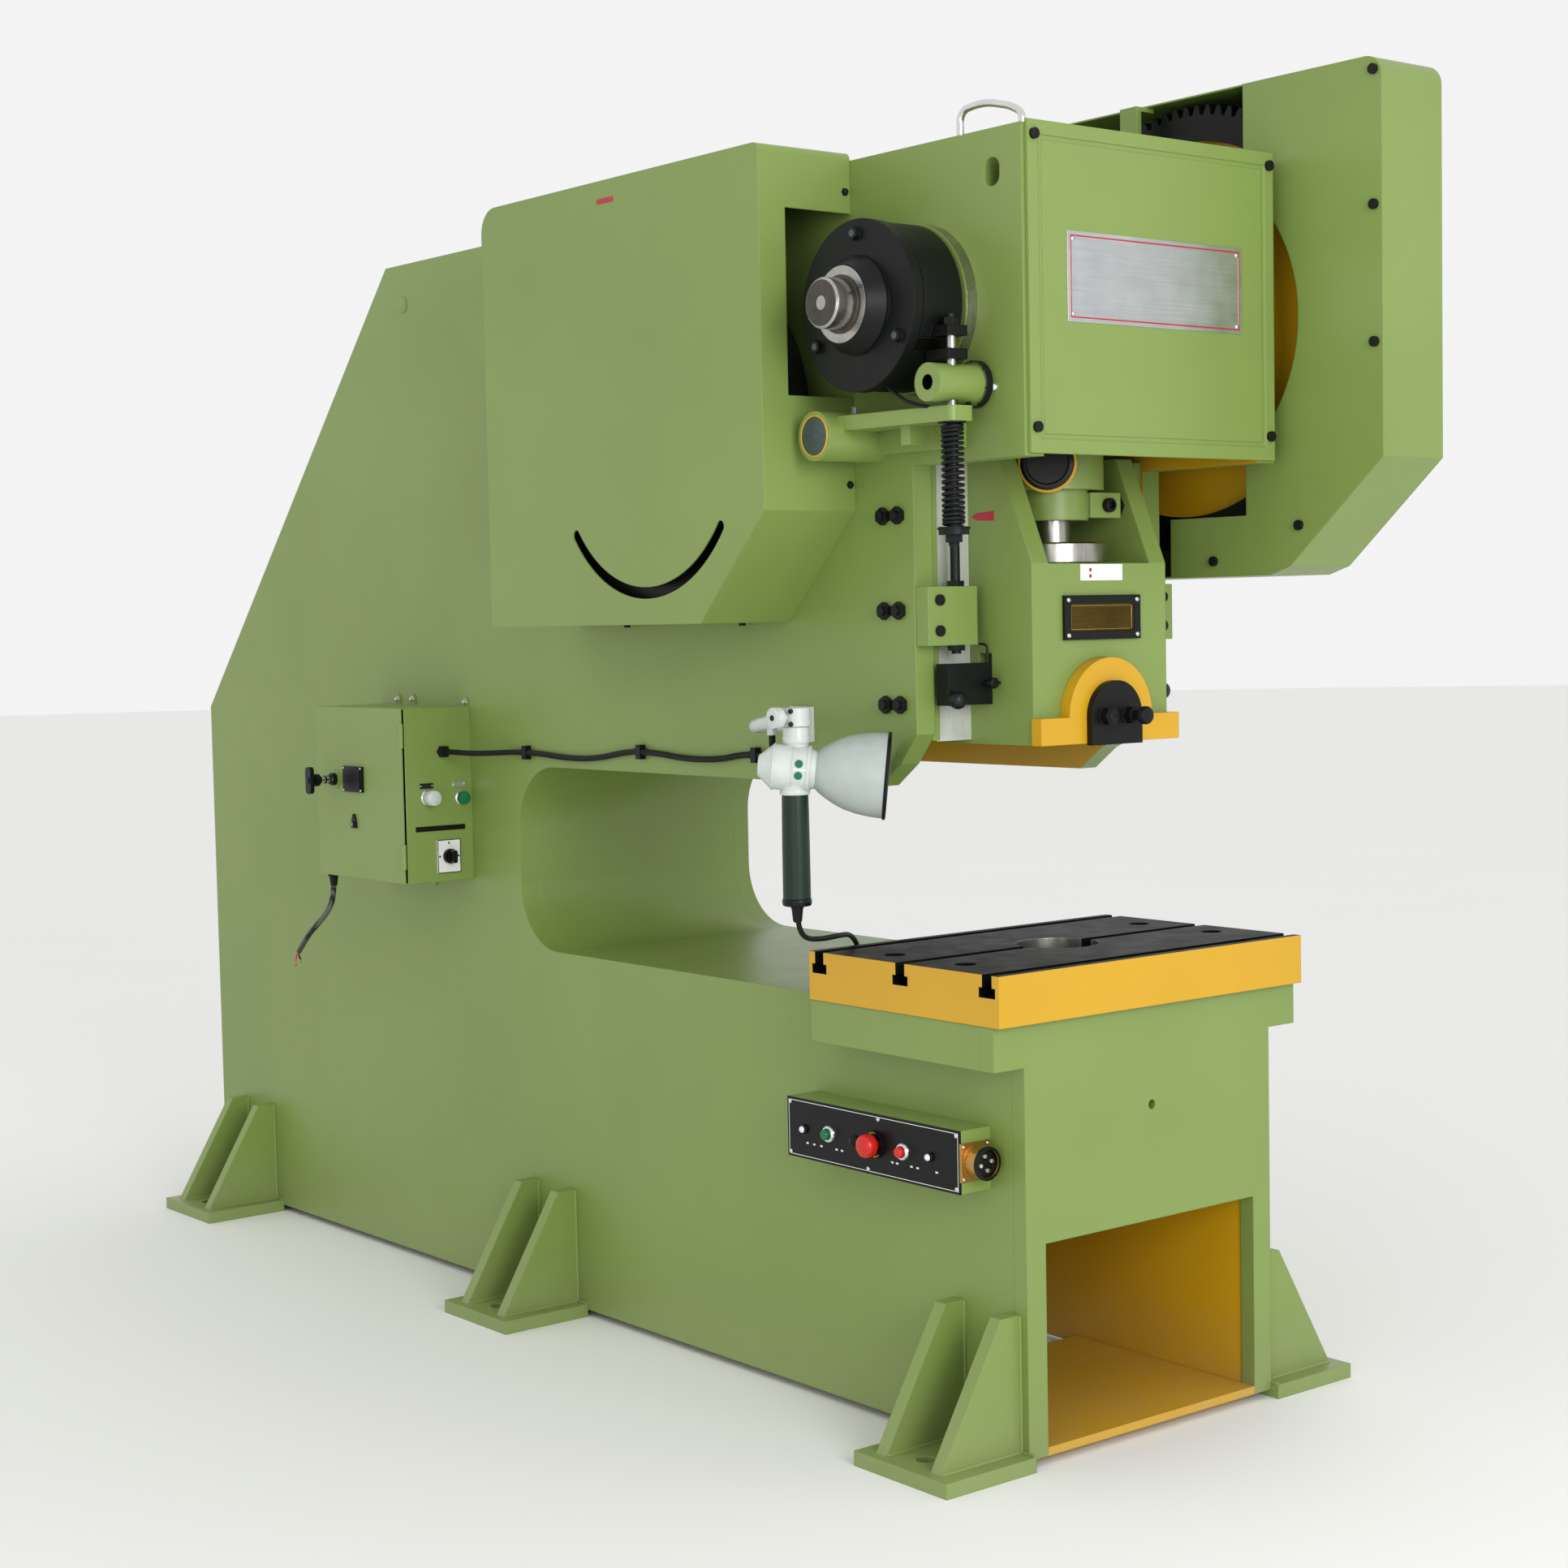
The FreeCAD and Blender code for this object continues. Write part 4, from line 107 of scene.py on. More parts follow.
# ================================================================ finishes
def machine_enamel(name, colour, gloss=0.36, **fixed):
    """Oil-based machine enamel, sprayed over filled plate: a soft sheen with faint orange peel, slow drifts of
    tone, a painted highlight along the edges, and dust near the floor."""
    material, tree, shader, place = start(name, IOR=1.5, **fixed)
    rounded, near = rounded_normal(tree, 3.0)
    drift = add(tree, "ShaderNodeTexNoise", {"Vector": place, "Scale": per_mm(420), "Detail": 3.0})
    cloud = add(tree, "ShaderNodeTexNoise", {"Vector": place, "Scale": per_mm(60), "Detail": 4.0})
    tone = add(tree, "ShaderNodeMapRange", {"Value": drift.outputs["Fac"], "From Min": 0.3, "From Max": 0.7,
                                            "To Min": 0.95, "To Max": 1.05})
    # painted highlight: the colour is made paler near every edge
    tone_and_edge_highlight = add(tree, "ShaderNodeMath", {0: near, 1: 0.16, 2: tone.outputs[0]}, operation="MULTIPLY_ADD")
    paint = add(tree, "ShaderNodeHueSaturation", {"Value": tone_and_edge_highlight.outputs[0], "Color": linear(colour)})
    height = add(tree, "ShaderNodeSeparateXYZ", {"Vector": place}).outputs["Z"]
    low = add(tree, "ShaderNodeMapRange", {"Value": height, "From Min": 0.0, "From Max": 0.16, "To Min": 0.35,
                                           "To Max": 0.0})
    patch = add(tree, "ShaderNodeMath", {0: low.outputs[0], 1: cloud.outputs["Fac"]}, operation="MULTIPLY")
    # the mix node's colour inputs are 6 and 7, and its colour output is 2
    dusty = add(tree, "ShaderNodeMix", {0: patch.outputs[0], 6: paint.outputs[0], 7: linear("9a9480")},
                data_type="RGBA")
    tree.links.new(dusty.outputs[2], shader.inputs["Base Color"])
    sheen = add(tree, "ShaderNodeMapRange", {"Value": cloud.outputs["Fac"], "To Min": gloss - 0.06,
                                             "To Max": gloss + 0.08})
    tree.links.new(sheen.outputs[0], shader.inputs["Roughness"])
    # real orange peel is 2 mm wide; it is drawn at 7 mm so that it shows at all
    peel = add(tree, "ShaderNodeTexNoise", {"Vector": place, "Scale": per_mm(7), "Detail": 1.0})
    bump = add(tree, "ShaderNodeBump", {"Height": peel.outputs["Fac"], "Strength": 0.10, "Distance": 0.0006,
                                        "Normal": rounded})
    tree.links.new(bump.outputs[0], shader.inputs["Normal"])
    return material


def cut_steel(name, colour, stretch, roughness=0.3, dark=0.7, metallic=1.0, **fixed):
    """Steel that a tool has crossed: fine parallel marks, stretch[axis] times longer where the tool ran."""
    material, tree, shader, place = start(name, Metallic=metallic, **fixed)
    rounded, near = rounded_normal(tree, 1.2)
    along = add(tree, "ShaderNodeMapping", {"Vector": place, "Scale": [1 / s for s in stretch]})
    # cutter marks stand 0.3 mm apart; they are drawn 2 mm apart
    marks = add(tree, "ShaderNodeTexNoise", {"Vector": along.outputs[0], "Scale": per_mm(2), "Detail": 4.0})
    stain = add(tree, "ShaderNodeTexNoise", {"Vector": place, "Scale": per_mm(45), "Detail": 5.0})
    both = add(tree, "ShaderNodeMath", {0: marks.outputs["Fac"], 1: stain.outputs["Fac"]}, operation="MULTIPLY")
    tone = add(tree, "ShaderNodeMapRange", {"Value": both.outputs[0], "From Min": 0.1, "From Max": 0.42,
                                            "To Min": dark, "To Max": 1.1})
    # painted highlight: the colour is made paler near every edge
    tone_and_edge_highlight = add(tree, "ShaderNodeMath", {0: near, 1: 0.35, 2: tone.outputs[0]}, operation="MULTIPLY_ADD")
    metal = add(tree, "ShaderNodeHueSaturation", {"Value": tone_and_edge_highlight.outputs[0], "Color": linear(colour)})
    tree.links.new(metal.outputs[0], shader.inputs["Base Color"])
    worn = add(tree, "ShaderNodeMapRange", {"Value": stain.outputs["Fac"], "To Min": roughness - 0.08,
                                            "To Max": roughness + 0.14})
    tree.links.new(worn.outputs[0], shader.inputs["Roughness"])
    bump = add(tree, "ShaderNodeBump", {"Height": marks.outputs["Fac"], "Strength": 0.25, "Distance": 0.0002,
                                        "Normal": rounded})
    tree.links.new(bump.outputs[0], shader.inputs["Normal"])
    return material


def moulded(name, colour, roughness, grain_mm=1.5, bump_strength=0.12, ior=1.46, **fixed):
    """Moulded plastic or rubber: even colour with a slight bloom, and the mould's fine grain."""
    material, tree, shader, place = start(name, IOR=ior, **fixed)
    rounded, _ = rounded_normal(tree, 0.8)
    bloom = add(tree, "ShaderNodeTexNoise", {"Vector": place, "Scale": per_mm(25), "Detail": 3.0})
    tone = add(tree, "ShaderNodeMapRange", {"Value": bloom.outputs["Fac"], "To Min": 0.88, "To Max": 1.12})
    body = add(tree, "ShaderNodeHueSaturation", {"Value": tone.outputs[0], "Color": linear(colour)})
    tree.links.new(body.outputs[0], shader.inputs["Base Color"])
    rub = add(tree, "ShaderNodeMapRange", {"Value": bloom.outputs["Fac"], "To Min": roughness - 0.07,
                                           "To Max": roughness + 0.07})
    tree.links.new(rub.outputs[0], shader.inputs["Roughness"])
    grain = add(tree, "ShaderNodeTexNoise", {"Vector": place, "Scale": per_mm(grain_mm), "Detail": 2.0})
    bump = add(tree, "ShaderNodeBump", {"Height": grain.outputs["Fac"], "Strength": bump_strength,
                                        "Distance": 0.0003, "Normal": rounded})
    tree.links.new(bump.outputs[0], shader.inputs["Normal"])
    return material


def woven_lining():
    """Woven friction lining: short cross threads in resin, 3 mm apart, dull and brown."""
    material, tree, shader, place = start("woven_lining", Roughness=0.85)
    cells = add(tree, "ShaderNodeTexVoronoi", {"Vector": place, "Scale": per_mm(3)})
    tone = add(tree, "ShaderNodeMapRange", {"Value": cells.outputs["Distance"], "To Min": 0.7, "To Max": 1.2})
    body = add(tree, "ShaderNodeHueSaturation", {"Value": tone.outputs[0], "Color": linear("5a4a3a")})
    tree.links.new(body.outputs[0], shader.inputs["Base Color"])
    bump = add(tree, "ShaderNodeBump", {"Height": cells.outputs["Distance"], "Strength": 0.4, "Distance": 0.0005})
    tree.links.new(bump.outputs[0], shader.inputs["Normal"])
    return material


def spiral_wrap():
    """Grey and black cores twisted together under a thin sleeve, a band every 9 mm."""
    material, tree, shader, place = start("spiral_wrapped_cores", Roughness=0.5, Specular_IOR_Level=0.3)
    # one band of the wave is 0.314 m across at scale 1
    bands = add(tree, "ShaderNodeTexWave", {"Vector": place, "Scale": 0.314 * per_mm(9), "Distortion": 2.0,
                                            "Detail": 2.0}, bands_direction="DIAGONAL")
    grey = add(tree, "ShaderNodeMix", {0: bands.outputs["Fac"], 6: linear("101312"), 7: linear("5b625c")},
               data_type="RGBA")
    tree.links.new(grey.outputs[2], shader.inputs["Base Color"])
    bump = add(tree, "ShaderNodeBump", {"Height": bands.outputs["Fac"], "Strength": 0.5, "Distance": 0.001})
    tree.links.new(bump.outputs[0], shader.inputs["Normal"])
    return material


def blown_glass():
    """Thin clear glass of the bulb, with a slight haze."""
    material, tree, shader, place = start("blown_glass", IOR=1.5, Transmission_Weight=0.7)
    haze = add(tree, "ShaderNodeTexNoise", {"Vector": place, "Scale": per_mm(20)})
    rough = add(tree, "ShaderNodeMapRange", {"Value": haze.outputs["Fac"], "To Min": 0.05, "To Max": 0.2})
    tree.links.new(rough.outputs[0], shader.inputs["Roughness"])
    shader.inputs["Base Color"].default_value = linear("f3f2ea")
    return material


SAGE = machine_enamel("sage_enamel", "7b914a")
YELLOW = machine_enamel("safety_yellow_enamel", "cb9c15", gloss=0.32)
# the black parts are oiled or handled, which dulls their shine, so their specular level is low
BLACK = machine_enamel("black_enamel", "0c0f0d", gloss=0.42, Specular_IOR_Level=0.22)
# an oil film fills the planing marks, so the top keeps little of the sky's reflection
TABLE_STEEL = cut_steel("planed_oiled_steel", "101212", (40, 1, 1), roughness=0.42, dark=0.5, metallic=0.0,
                        Specular_IOR_Level=0.05)
GROUND = cut_steel("ground_steel", "b9b7b0", (1, 1, 30), roughness=0.24)
OILY_STEEL = cut_steel("oily_turned_steel", "4a443b", (1, 6, 6), roughness=0.3, dark=0.6, metallic=0.5)
SCRAPED = cut_steel("scraped_steel", "cfd1cd", (1, 1, 30), roughness=0.38, dark=0.86, metallic=0.35)
CAP_STEEL = cut_steel("blued_cap_steel", "475559", (1, 3, 3), roughness=0.34, metallic=0.3)
OXIDE = cut_steel("black_oxide_steel", "151718", (1, 1, 1), roughness=0.4, metallic=0.3, Specular_IOR_Level=0.3)
CHROME = cut_steel("bright_chrome", "dcdcdc", (1, 1, 1), roughness=0.12, dark=0.9)
BRASS = cut_steel("turned_brass", "c39a55", (1, 12, 1), roughness=0.26)
ALUMINIUM = cut_steel("brushed_aluminium_plate", "c9ccce", (60, 1, 1), roughness=0.34, dark=0.88)
BRONZE = cut_steel("etched_bronze_plate", "5f4d22", (40, 1, 1), roughness=0.36, dark=0.6)
CAST_BLACK = moulded("oily_black_iron", "0f1213", 0.34, grain_mm=5, bump_strength=0.3, Specular_IOR_Level=0.35)
RUBBER = moulded("black_rubber", "0e1112", 0.55, grain_mm=2, Specular_IOR_Level=0.25)
PHENOLIC = moulded("black_phenolic", "0b0d0e", 0.3, Specular_IOR_Level=0.25)
HANDLE_GREEN = moulded("dark_green_phenolic", "11291e", 0.36, Specular_IOR_Level=0.35)
CREAM = moulded("cream_enamel", "c4cbc7", 0.28)
SHADE_WHITE = moulded("shade_enamel", "a9b2ae", 0.34, grain_mm=4)
RED = moulded("red_cap", "c81f1d", 0.25)
GREEN = moulded("green_cap", "0f6a43", 0.25)
SIGNAL_YELLOW = moulded("signal_yellow_ring", "d8c21c", 0.3)
LILAC_WHITE = moulded("opal_cap", "dcdff0", 0.2)
PRINT_RED = moulded("red_print", "b0243a", 0.4)
PRINT_WHITE = moulded("white_print", "e6e8e6", 0.4)
PRINT_BLACK = moulded("black_print", "151515", 0.4)
COPPER = cut_steel("bare_copper", "c98a5c", (1, 1, 6), roughness=0.3)
LINING = woven_lining()
TWISTED = spiral_wrap()
GLASS = blown_glass()

SLOT_FINISH = {
    "green_paint": SAGE, "yellow_paint": YELLOW, "black_paint": BLACK, "ground_steel": GROUND,
    "dark_steel": OXIDE, "chromed": CHROME, "brass": BRASS, "black_rubber": RUBBER, "cream_plastic": CREAM,
    "dark_green_plastic": HANDLE_GREEN, "red_plastic": RED, "green_plastic": GREEN, "black_plastic": PHENOLIC,
    "white_enamel": SHADE_WHITE, "clear_glass": GLASS,
}


# ================================================================ finishes on the solids
def finish_nodes():
    """Every CAD node takes the finish of its record slot."""
    for entry in frame["record"]["subparts"]:
        mesh = nodes[entry["node"]].data
        mesh.materials.clear()
        mesh.materials.append(SLOT_FINISH[entry["material_slot"]])


def repaint(node, finish, chosen):
    """Another finish for the faces of a CAD node that chosen(centre, normal) picks."""
    mesh = nodes[node].data
    mesh.materials.append(finish)
    index = len(mesh.materials) - 1
    for face in mesh.polygons:
        if chosen(face.center, face.normal):
            face.material_index = index


# ================================================================ measuring
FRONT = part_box("table")[0].y                # the table's front edge
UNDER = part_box("left_side_plate")[0].z      # the frame's underside


def at(x, y, z):
    """Row-frame point from millimetres: X from the middle, Y from the table's front edge, Z from the underside."""
    return Vector((x * MM, FRONT + y * MM, UNDER + z * MM))


def place(spot, out, up=(0, 0, 1)):
    """Matrix in millimetres at a spot: its Z points out of the surface, its Y leans to up."""
    z = Vector(out).normalized()
    x = Vector(up).cross(z).normalized()
    turn = Matrix((x, z.cross(x), z)).transposed().to_4x4()
    return Matrix.Translation(at(*spot)) @ turn @ Matrix.Scale(MM, 4)


AHEAD = (0, -1, 0)      # out of a front face
LEFT = (-1, 0, 0)       # out of a left face
UP = (0, 0, 1)
DOWN = (0, 0, -1)


# ================================================================ shapes
def rectangle(width, height, centre=(0, 0)):
    x, y = centre
    return [(x - width / 2, y - height / 2), (x + width / 2, y - height / 2),
            (x + width / 2, y + height / 2), (x - width / 2, y + height / 2)]


def circle(radius, steps=32, centre=(0, 0)):
    turns = [2 * math.pi * i / steps for i in range(steps)]
    return [(centre[0] + radius * math.cos(t), centre[1] + radius * math.sin(t)) for t in turns]


def slab(bm, where, outline, depth, finish=0, start=0.0):
    """Plate on a closed outline of (x, y) points, from start out to start + depth."""
    low = [bm.verts.new(where @ Vector((x, y, start))) for x, y in outline]
    high = [bm.verts.new(where @ Vector((x, y, start + depth))) for x, y in outline]
    faces = [bm.faces.new(low[::-1]), bm.faces.new(high)]
    for i, (a, b) in enumerate(zip(low, high)):
        j = (i + 1) % len(low)
        faces.append(bm.faces.new((a, low[j], high[j], b)))
    for face in faces:
        face.material_index = finish


def rim(bm, where, width, height, band, depth, finish=0, start=0.0):
    """Mitred flat rim round a rectangle."""
    outer = rectangle(width, height)
    inner = rectangle(width - 2 * band, height - 2 * band)
    for i in range(4):
        j = (i + 1) % 4
        slab(bm, where, [outer[i], outer[j], inner[j], inner[i]], depth, finish, start)


def turned(bm, where, profile, steps=32, finish=0):
    """Turned part of (height, radius) points about the place's Z; a radius of 0 closes an end."""
    rings = []
    for height, radius in profile:
        spots = circle(radius, steps) if radius else [(0, 0)]
        rings.append([bm.verts.new(where @ Vector((x, y, height))) for x, y in spots])
    for low, high in zip(rings, rings[1:]):
        for i in range(steps):
            corners = [ring[k % len(ring)] for ring, k in ((low, i), (low, i + 1), (high, i + 1), (high, i))]
            bm.faces.new(list(dict.fromkeys(corners))).material_index = finish


def swept(bm, points, radius, steps=10, finish=0):
    """Round bar along row-frame points; radius is millimetres, or one for each point."""
    radii = radius if isinstance(radius, list) else [radius] * len(points)
    ways = [(b - a).normalized() for a, b in zip(points, points[1:])]
    ways = [ways[0]] + [(a + b).normalized() for a, b in zip(ways, ways[1:])] + [ways[-1]]
    side = ways[0].orthogonal().normalized()
    rings = []
    for point, way, r in zip(points, ways, radii):
        side = (side - way * side.dot(way)).normalized()
        other = way.cross(side)
        rings.append([bm.verts.new(point + (side * x + other * y) * r * MM) for x, y in circle(1, steps)])
    faces = [bm.faces.new(rings[0][::-1]), bm.faces.new(rings[-1])]
    for low, high in zip(rings, rings[1:]):
        for i in range(steps):
            j = (i + 1) % steps
            faces.append(bm.faces.new((low[i], low[j], high[j], high[i])))
    for face in faces:
        face.material_index = finish


def piece(name, bm, finishes, body, soften=0.0):
    """Turns a filled bmesh into a piece on a body. soften rounds its sharp edges, in millimetres."""
    bmesh.ops.recalc_face_normals(bm, faces=bm.faces)
    for face in bm.faces:
        face.smooth = True
    for edge in bm.edges:
        edge.smooth = edge.calc_face_angle(math.pi) < math.radians(35)
    mesh = bpy.data.meshes.new(name)
    bm.to_mesh(mesh)
    bm.free()
    for finish in finishes:
        mesh.materials.append(finish)
    obj = bpy.data.objects.new(name, mesh)
    bpy.context.scene.collection.objects.link(obj)
    if soften:
        bevel = obj.modifiers.new("soften", "BEVEL")
        bevel.width = soften * MM
        bevel.segments = 2
        bevel.angle_limit = math.radians(35)
    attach(obj, body)
    return obj


def socket_screw(bm, where, radius, height, finish=0, dark=None):
    """Cap screw head with its hexagon socket."""
    turned(bm, where, [(0, 0), (0, radius), (height * 0.85, radius), (height, radius * 0.88), (height, radius * 0.55)],
           24, finish)
    turned(bm, where, [(height, radius * 0.55), (height * 0.4, radius * 0.5), (height * 0.4, 0)], 6,
           finish if dark is None else dark)


def dome_screw(bm, where, radius, finish=0):
    """Low round head."""
    turned(bm, where, [(0, 0), (0, radius), (radius * 0.3, radius * 0.92), (radius * 0.5, radius * 0.6),
                       (radius * 0.56, 0)], 20, finish)


# ================================================================ camera and leads
def stand_camera():
    """Camera at the height of the throat, ahead and to the left of the press."""
    camera = bpy.data.objects.new("camera", bpy.data.cameras.new("camera"))
    bpy.context.scene.collection.objects.link(camera)
    camera.data.lens = 59.7
    camera.data.sensor_width = 36.0
    camera.data.clip_end = 200.0
    turn = (Matrix.Rotation(math.radians(-38.54), 4, "Z") @ Matrix.Rotation(math.radians(86.359), 4, "X")
            @ Matrix.Rotation(math.radians(-1.142), 4, "Z"))
    camera.matrix_world = Matrix.Translation((-3.0948, -4.2813, 1.3551)) @ turn
    bpy.context.scene.camera = camera


def lead(name, route, radius, finish, body):
    """Round lead on one smooth line whose control points are the route's."""
    curve = bpy.data.curves.new(name, "CURVE")
    curve.dimensions = "3D"
    line = curve.splines.new("NURBS")
    line.points.add(len(route) - 1)
    for point, spot in zip(line.points, route):
        point.co = (*at(*spot), 1)
    line.order_u = 3
    line.use_endpoint_u = True
    line.resolution_u = 14
    curve.bevel_depth = radius * MM
    curve.bevel_resolution = 5
    curve.use_fill_caps = True
    curve.materials.append(finish)
    obj = bpy.data.objects.new(name, curve)
    bpy.context.scene.collection.objects.link(obj)
    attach(obj, body)
    return obj


def lamp_lead():
    """Lead from the lamp's grip, over the table's corner and down behind it into the gland on the bed."""
    route = [(-452, 372, 873), (-452, 372, 841), (-430, 381, 816), (-376, 403, 809), (-316, 432, 807),
             (-262, 468, 802), (-222, 498, 783), (-196, 517, 750), (-196, 517, 711)]
    cable = lead("lamp_lead", route, 4.5, RUBBER, "frame")
    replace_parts(cable, "lamp_cord")
    bm = bmesh.new()
    turned(bm, place(route[0], DOWN, (0, 1, 0)), [(0, 0), (0, 10), (3, 10.5), (6, 9.4), (24, 7.6), (27, 6)], 20)
    relief = piece("lamp_lead_relief", bm, [RUBBER], "lamp")
    bm = bmesh.new()
    turned(bm, place(route[-1], UP, (0, 1, 0)), [(0, 0), (0, 8.5), (4, 8.5), (20, 5.8), (22, 5)], 20)
    entry = piece("bed_lead_relief", bm, [RUBBER], "frame")


def supply_lead():
    """Supply lead out of the control box's underside, with three bare cores at its end."""
    route = [(-428, 1966, 822), (-428, 1966, 774), (-430, 1993, 738), (-433, 2032, 710), (-436, 2074, 682),
             (-438, 2112, 644)]
    cable = lead("supply_lead", route, 6.0, TWISTED, "frame")
    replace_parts(cable, "supply_wires")
    bm = bmesh.new()
    turned(bm, place(route[0], DOWN, (0, 1, 0)), [(0, 0), (0, 12), (5, 12), (6, 9.5), (24, 7.2), (26, 6.4)], 20)
    relief = piece("supply_lead_relief", bm, [RUBBER], "frame")
    bm = bmesh.new()
    end = at(*route[-1])
    way = (end - at(*route[-2])).normalized()
    for i, (dx, dy, dz) in enumerate(((-5, 6, -22), (1, 16, -26), (5, 3, -18))):
        tip = end + Vector((dx, dy, dz)) * MM
        middle = end + way * 0.008 + Vector((dx * 0.5, dy * 0.2, dz * 0.2)) * MM
        swept(bm, [end - way * 0.006, middle, tip], 1.9, 10, i)
        swept(bm, [tip, tip + Vector((dx * 0.2, dy * 0.2, -9)) * MM], 1.1, 8, 3)
    cores = piece("supply_cores", bm, [RED, CREAM, RUBBER, COPPER], "frame")


def clipped_cable():
    """Cable clipped along the cheek, from the control box to the lamp's arm."""
    x, low = -294.0, 1086.0
    route = [(-357, 1616, low), (-357, 1574, low), (-345, 1536, low - 2), (-317, 1492, low - 1)]
    for y, z, sag in ((1413, 1087, 7), (1024, 1099, 9), (676, 1103, 0)):
        route += [(x, y + 40, z), (x, y - 40, z)]
        if sag:
            route += [(x - 2, y - 145, z - sag), (x - 2, y - 245, z - sag + 2)]
    route += [(x - 10, 592, 1092), (x - 48, 542, 1072), (x - 98, 492, 1065), (-431, 454, 1083), (-445, 438, 1115),
              (-445, 438, 1150)]
    cable = lead("clipped_lamp_cable", route, 5.6, RUBBER, "frame")
    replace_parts(cable, "lamp_cable")
    bm = bmesh.new()
    for y, z in ((1413, 1087), (1024, 1099), (676, 1103)):
        # a wrapped sleeve under each saddle, thicker than the cable
        spots = [at(x, y + d, z) for d in (-24, -20, -10, 0, 10, 20, 24)]
        swept(bm, spots, [5.0, 6.4, 6.6, 6.7, 6.6, 6.4, 5.0], 16)
    piece("cable_sleeves", bm, [RUBBER], "frame")


# ================================================================ finishes on faces of the solids
def paint_faces():
    """Second finishes on CAD nodes: yellow insides, machined faces, dark parts, and painted shade in the brake
    bracket's bore.
    """
    table_low, table_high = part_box("table")
    left_low, left_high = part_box("left_side_plate")
    right_low, right_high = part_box("right_side_plate")
    edge = 0.5 * MM
    repaint("table", TABLE_STEEL, lambda c, n: True)
    repaint("table", YELLOW, lambda c, n: abs(c.x) > table_high.x - edge or c.y < table_low.y + edge
            or c.y > table_high.y - edge)
    ram_axis = at(0, 232, 0)
    repaint("table", GROUND, lambda c, n: math.hypot(c.x, c.y - ram_axis.y) < 0.0705 and abs(n.z) < 0.5)
    repaint("left_side_plate", YELLOW, lambda c, n: n.x > 0.9 and c.x > left_high.x - edge)
    repaint("right_side_plate", YELLOW, lambda c, n: n.x < -0.9 and c.x < right_low.x + edge)
    ear = at(0, 270, 0).y
    repaint("ram", SCRAPED, lambda c, n: n.y < -0.9 and abs(c.y - ear) < 2 * MM and abs(c.x) > 0.15)
    repaint("bull_gear", YELLOW, lambda c, n: math.hypot(c.y - at(0, 232, 0).y, c.z - at(0, 0, 1830).z) < 0.335)
    drum = at(0, 232, 1830)
    repaint("brake_band", BLACK, lambda c, n: True)
    repaint("brake_band", LINING, lambda c, n: math.hypot(c.y - drum.y, c.z - drum.z) < 0.1284)
    repaint("crank_bushes", GROUND, lambda c, n: abs(n.x) < 0.3 and c.x < 0
            and math.hypot(c.y - drum.y, c.z - drum.z) > 0.130)
    repaint("brake_bracket", RUBBER, lambda c, n: at(-309, 0, 0).x < c.x < at(-295, 0, 0).x
            and 0.033 < math.hypot(c.y - at(0, 92, 0).y, c.z - at(0, 0, 1700).z) < 0.040)
    # the bore of the bracket's tube is painted black, as painted shade in the hole
    tube = at(0, 92, 1700)
    repaint("brake_bracket", PHENOLIC, lambda c, n: math.hypot(c.y - tube.y, c.z - tube.z) < 0.013)
    repaint("brake_rod", GROUND, lambda c, n: at(0, 0, 1655).z < c.z < at(0, 0, 1760).z)
    repaint("cable_clips", PHENOLIC, lambda c, n: True)
    repaint("control_box", PRINT_WHITE, lambda c, n: c.z < at(0, 0, 908).z and c.z > at(0, 0, 838).z
            and c.y < at(0, 1629.5, 0).y)
    repaint("control_box", PHENOLIC, lambda c, n: at(0, 0, 925.5).z < c.z < at(0, 0, 936.5).z
            and c.y < at(0, 1629.5, 0).y)
    repaint("control_box", RUBBER, lambda c, n: c.z > at(0, 0, 1070).z and c.y < at(0, 1629.5, 0).y)
    repaint("console_box", RUBBER, lambda c, n: c.z > at(0, 0, 527.5).z)
    shaft = at(0, 1912, 1025)
    repaint("isolator_handle", CHROME, lambda c, n: at(-486.5, 0, 0).x < c.x < at(-457, 0, 0).x
            and math.hypot(c.y - shaft.y, c.z - shaft.z) < 8 * MM)


# ================================================================ head and ram
def head_plates():
    """Bare nameplate with a red line on the head cover, riveted at its corners."""
    bm = bmesh.new()
    where = place((0, -14, 1863), AHEAD)
    slab(bm, where, rectangle(402, 140), 1.4)
    rim(bm, where, 390, 128, 2.4, 0.4, 1, 1.4)
    for x in (-189, 189):
        for z in (-58, 58):
            dome_screw(bm, where @ Matrix.Translation((x, z, 1.4)), 3.6, 2)
    piece("head_nameplate", bm, [ALUMINIUM, PRINT_RED, CHROME], "frame", soften=0.4)


def ram_plates():
    """Framed bronze plate and the white strip above it, both bare."""
    bm = bmesh.new()
    where = place((0, 120, 1333), AHEAD)
    rim(bm, where, 176, 73, 14, 7)
    slab(bm, where, rectangle(150, 47), 3, 1)
    for x in (-80, 80):
        for z in (-29, 29):
            dome_screw(bm, where @ Matrix.Translation((x, z, 7)), 4, 2)
    rim(bm, where, 142, 40, 1.2, 0.4, 3, 3)
    piece("ram_nameplate", bm, [BLACK, BRONZE, CHROME, BRASS], "slide", soften=1.0)
    bm = bmesh.new()
    where = place((3, 120, 1407), AHEAD)
    slab(bm, where, rectangle(98, 27), 0.8)
    for z in (-6, 4):
        slab(bm, where, circle(3.2, 16, (-26, z)), 0.3, 1, 0.8)
    piece("ram_label", bm, [PRINT_WHITE, PRINT_RED], "slide", soften=0.3)


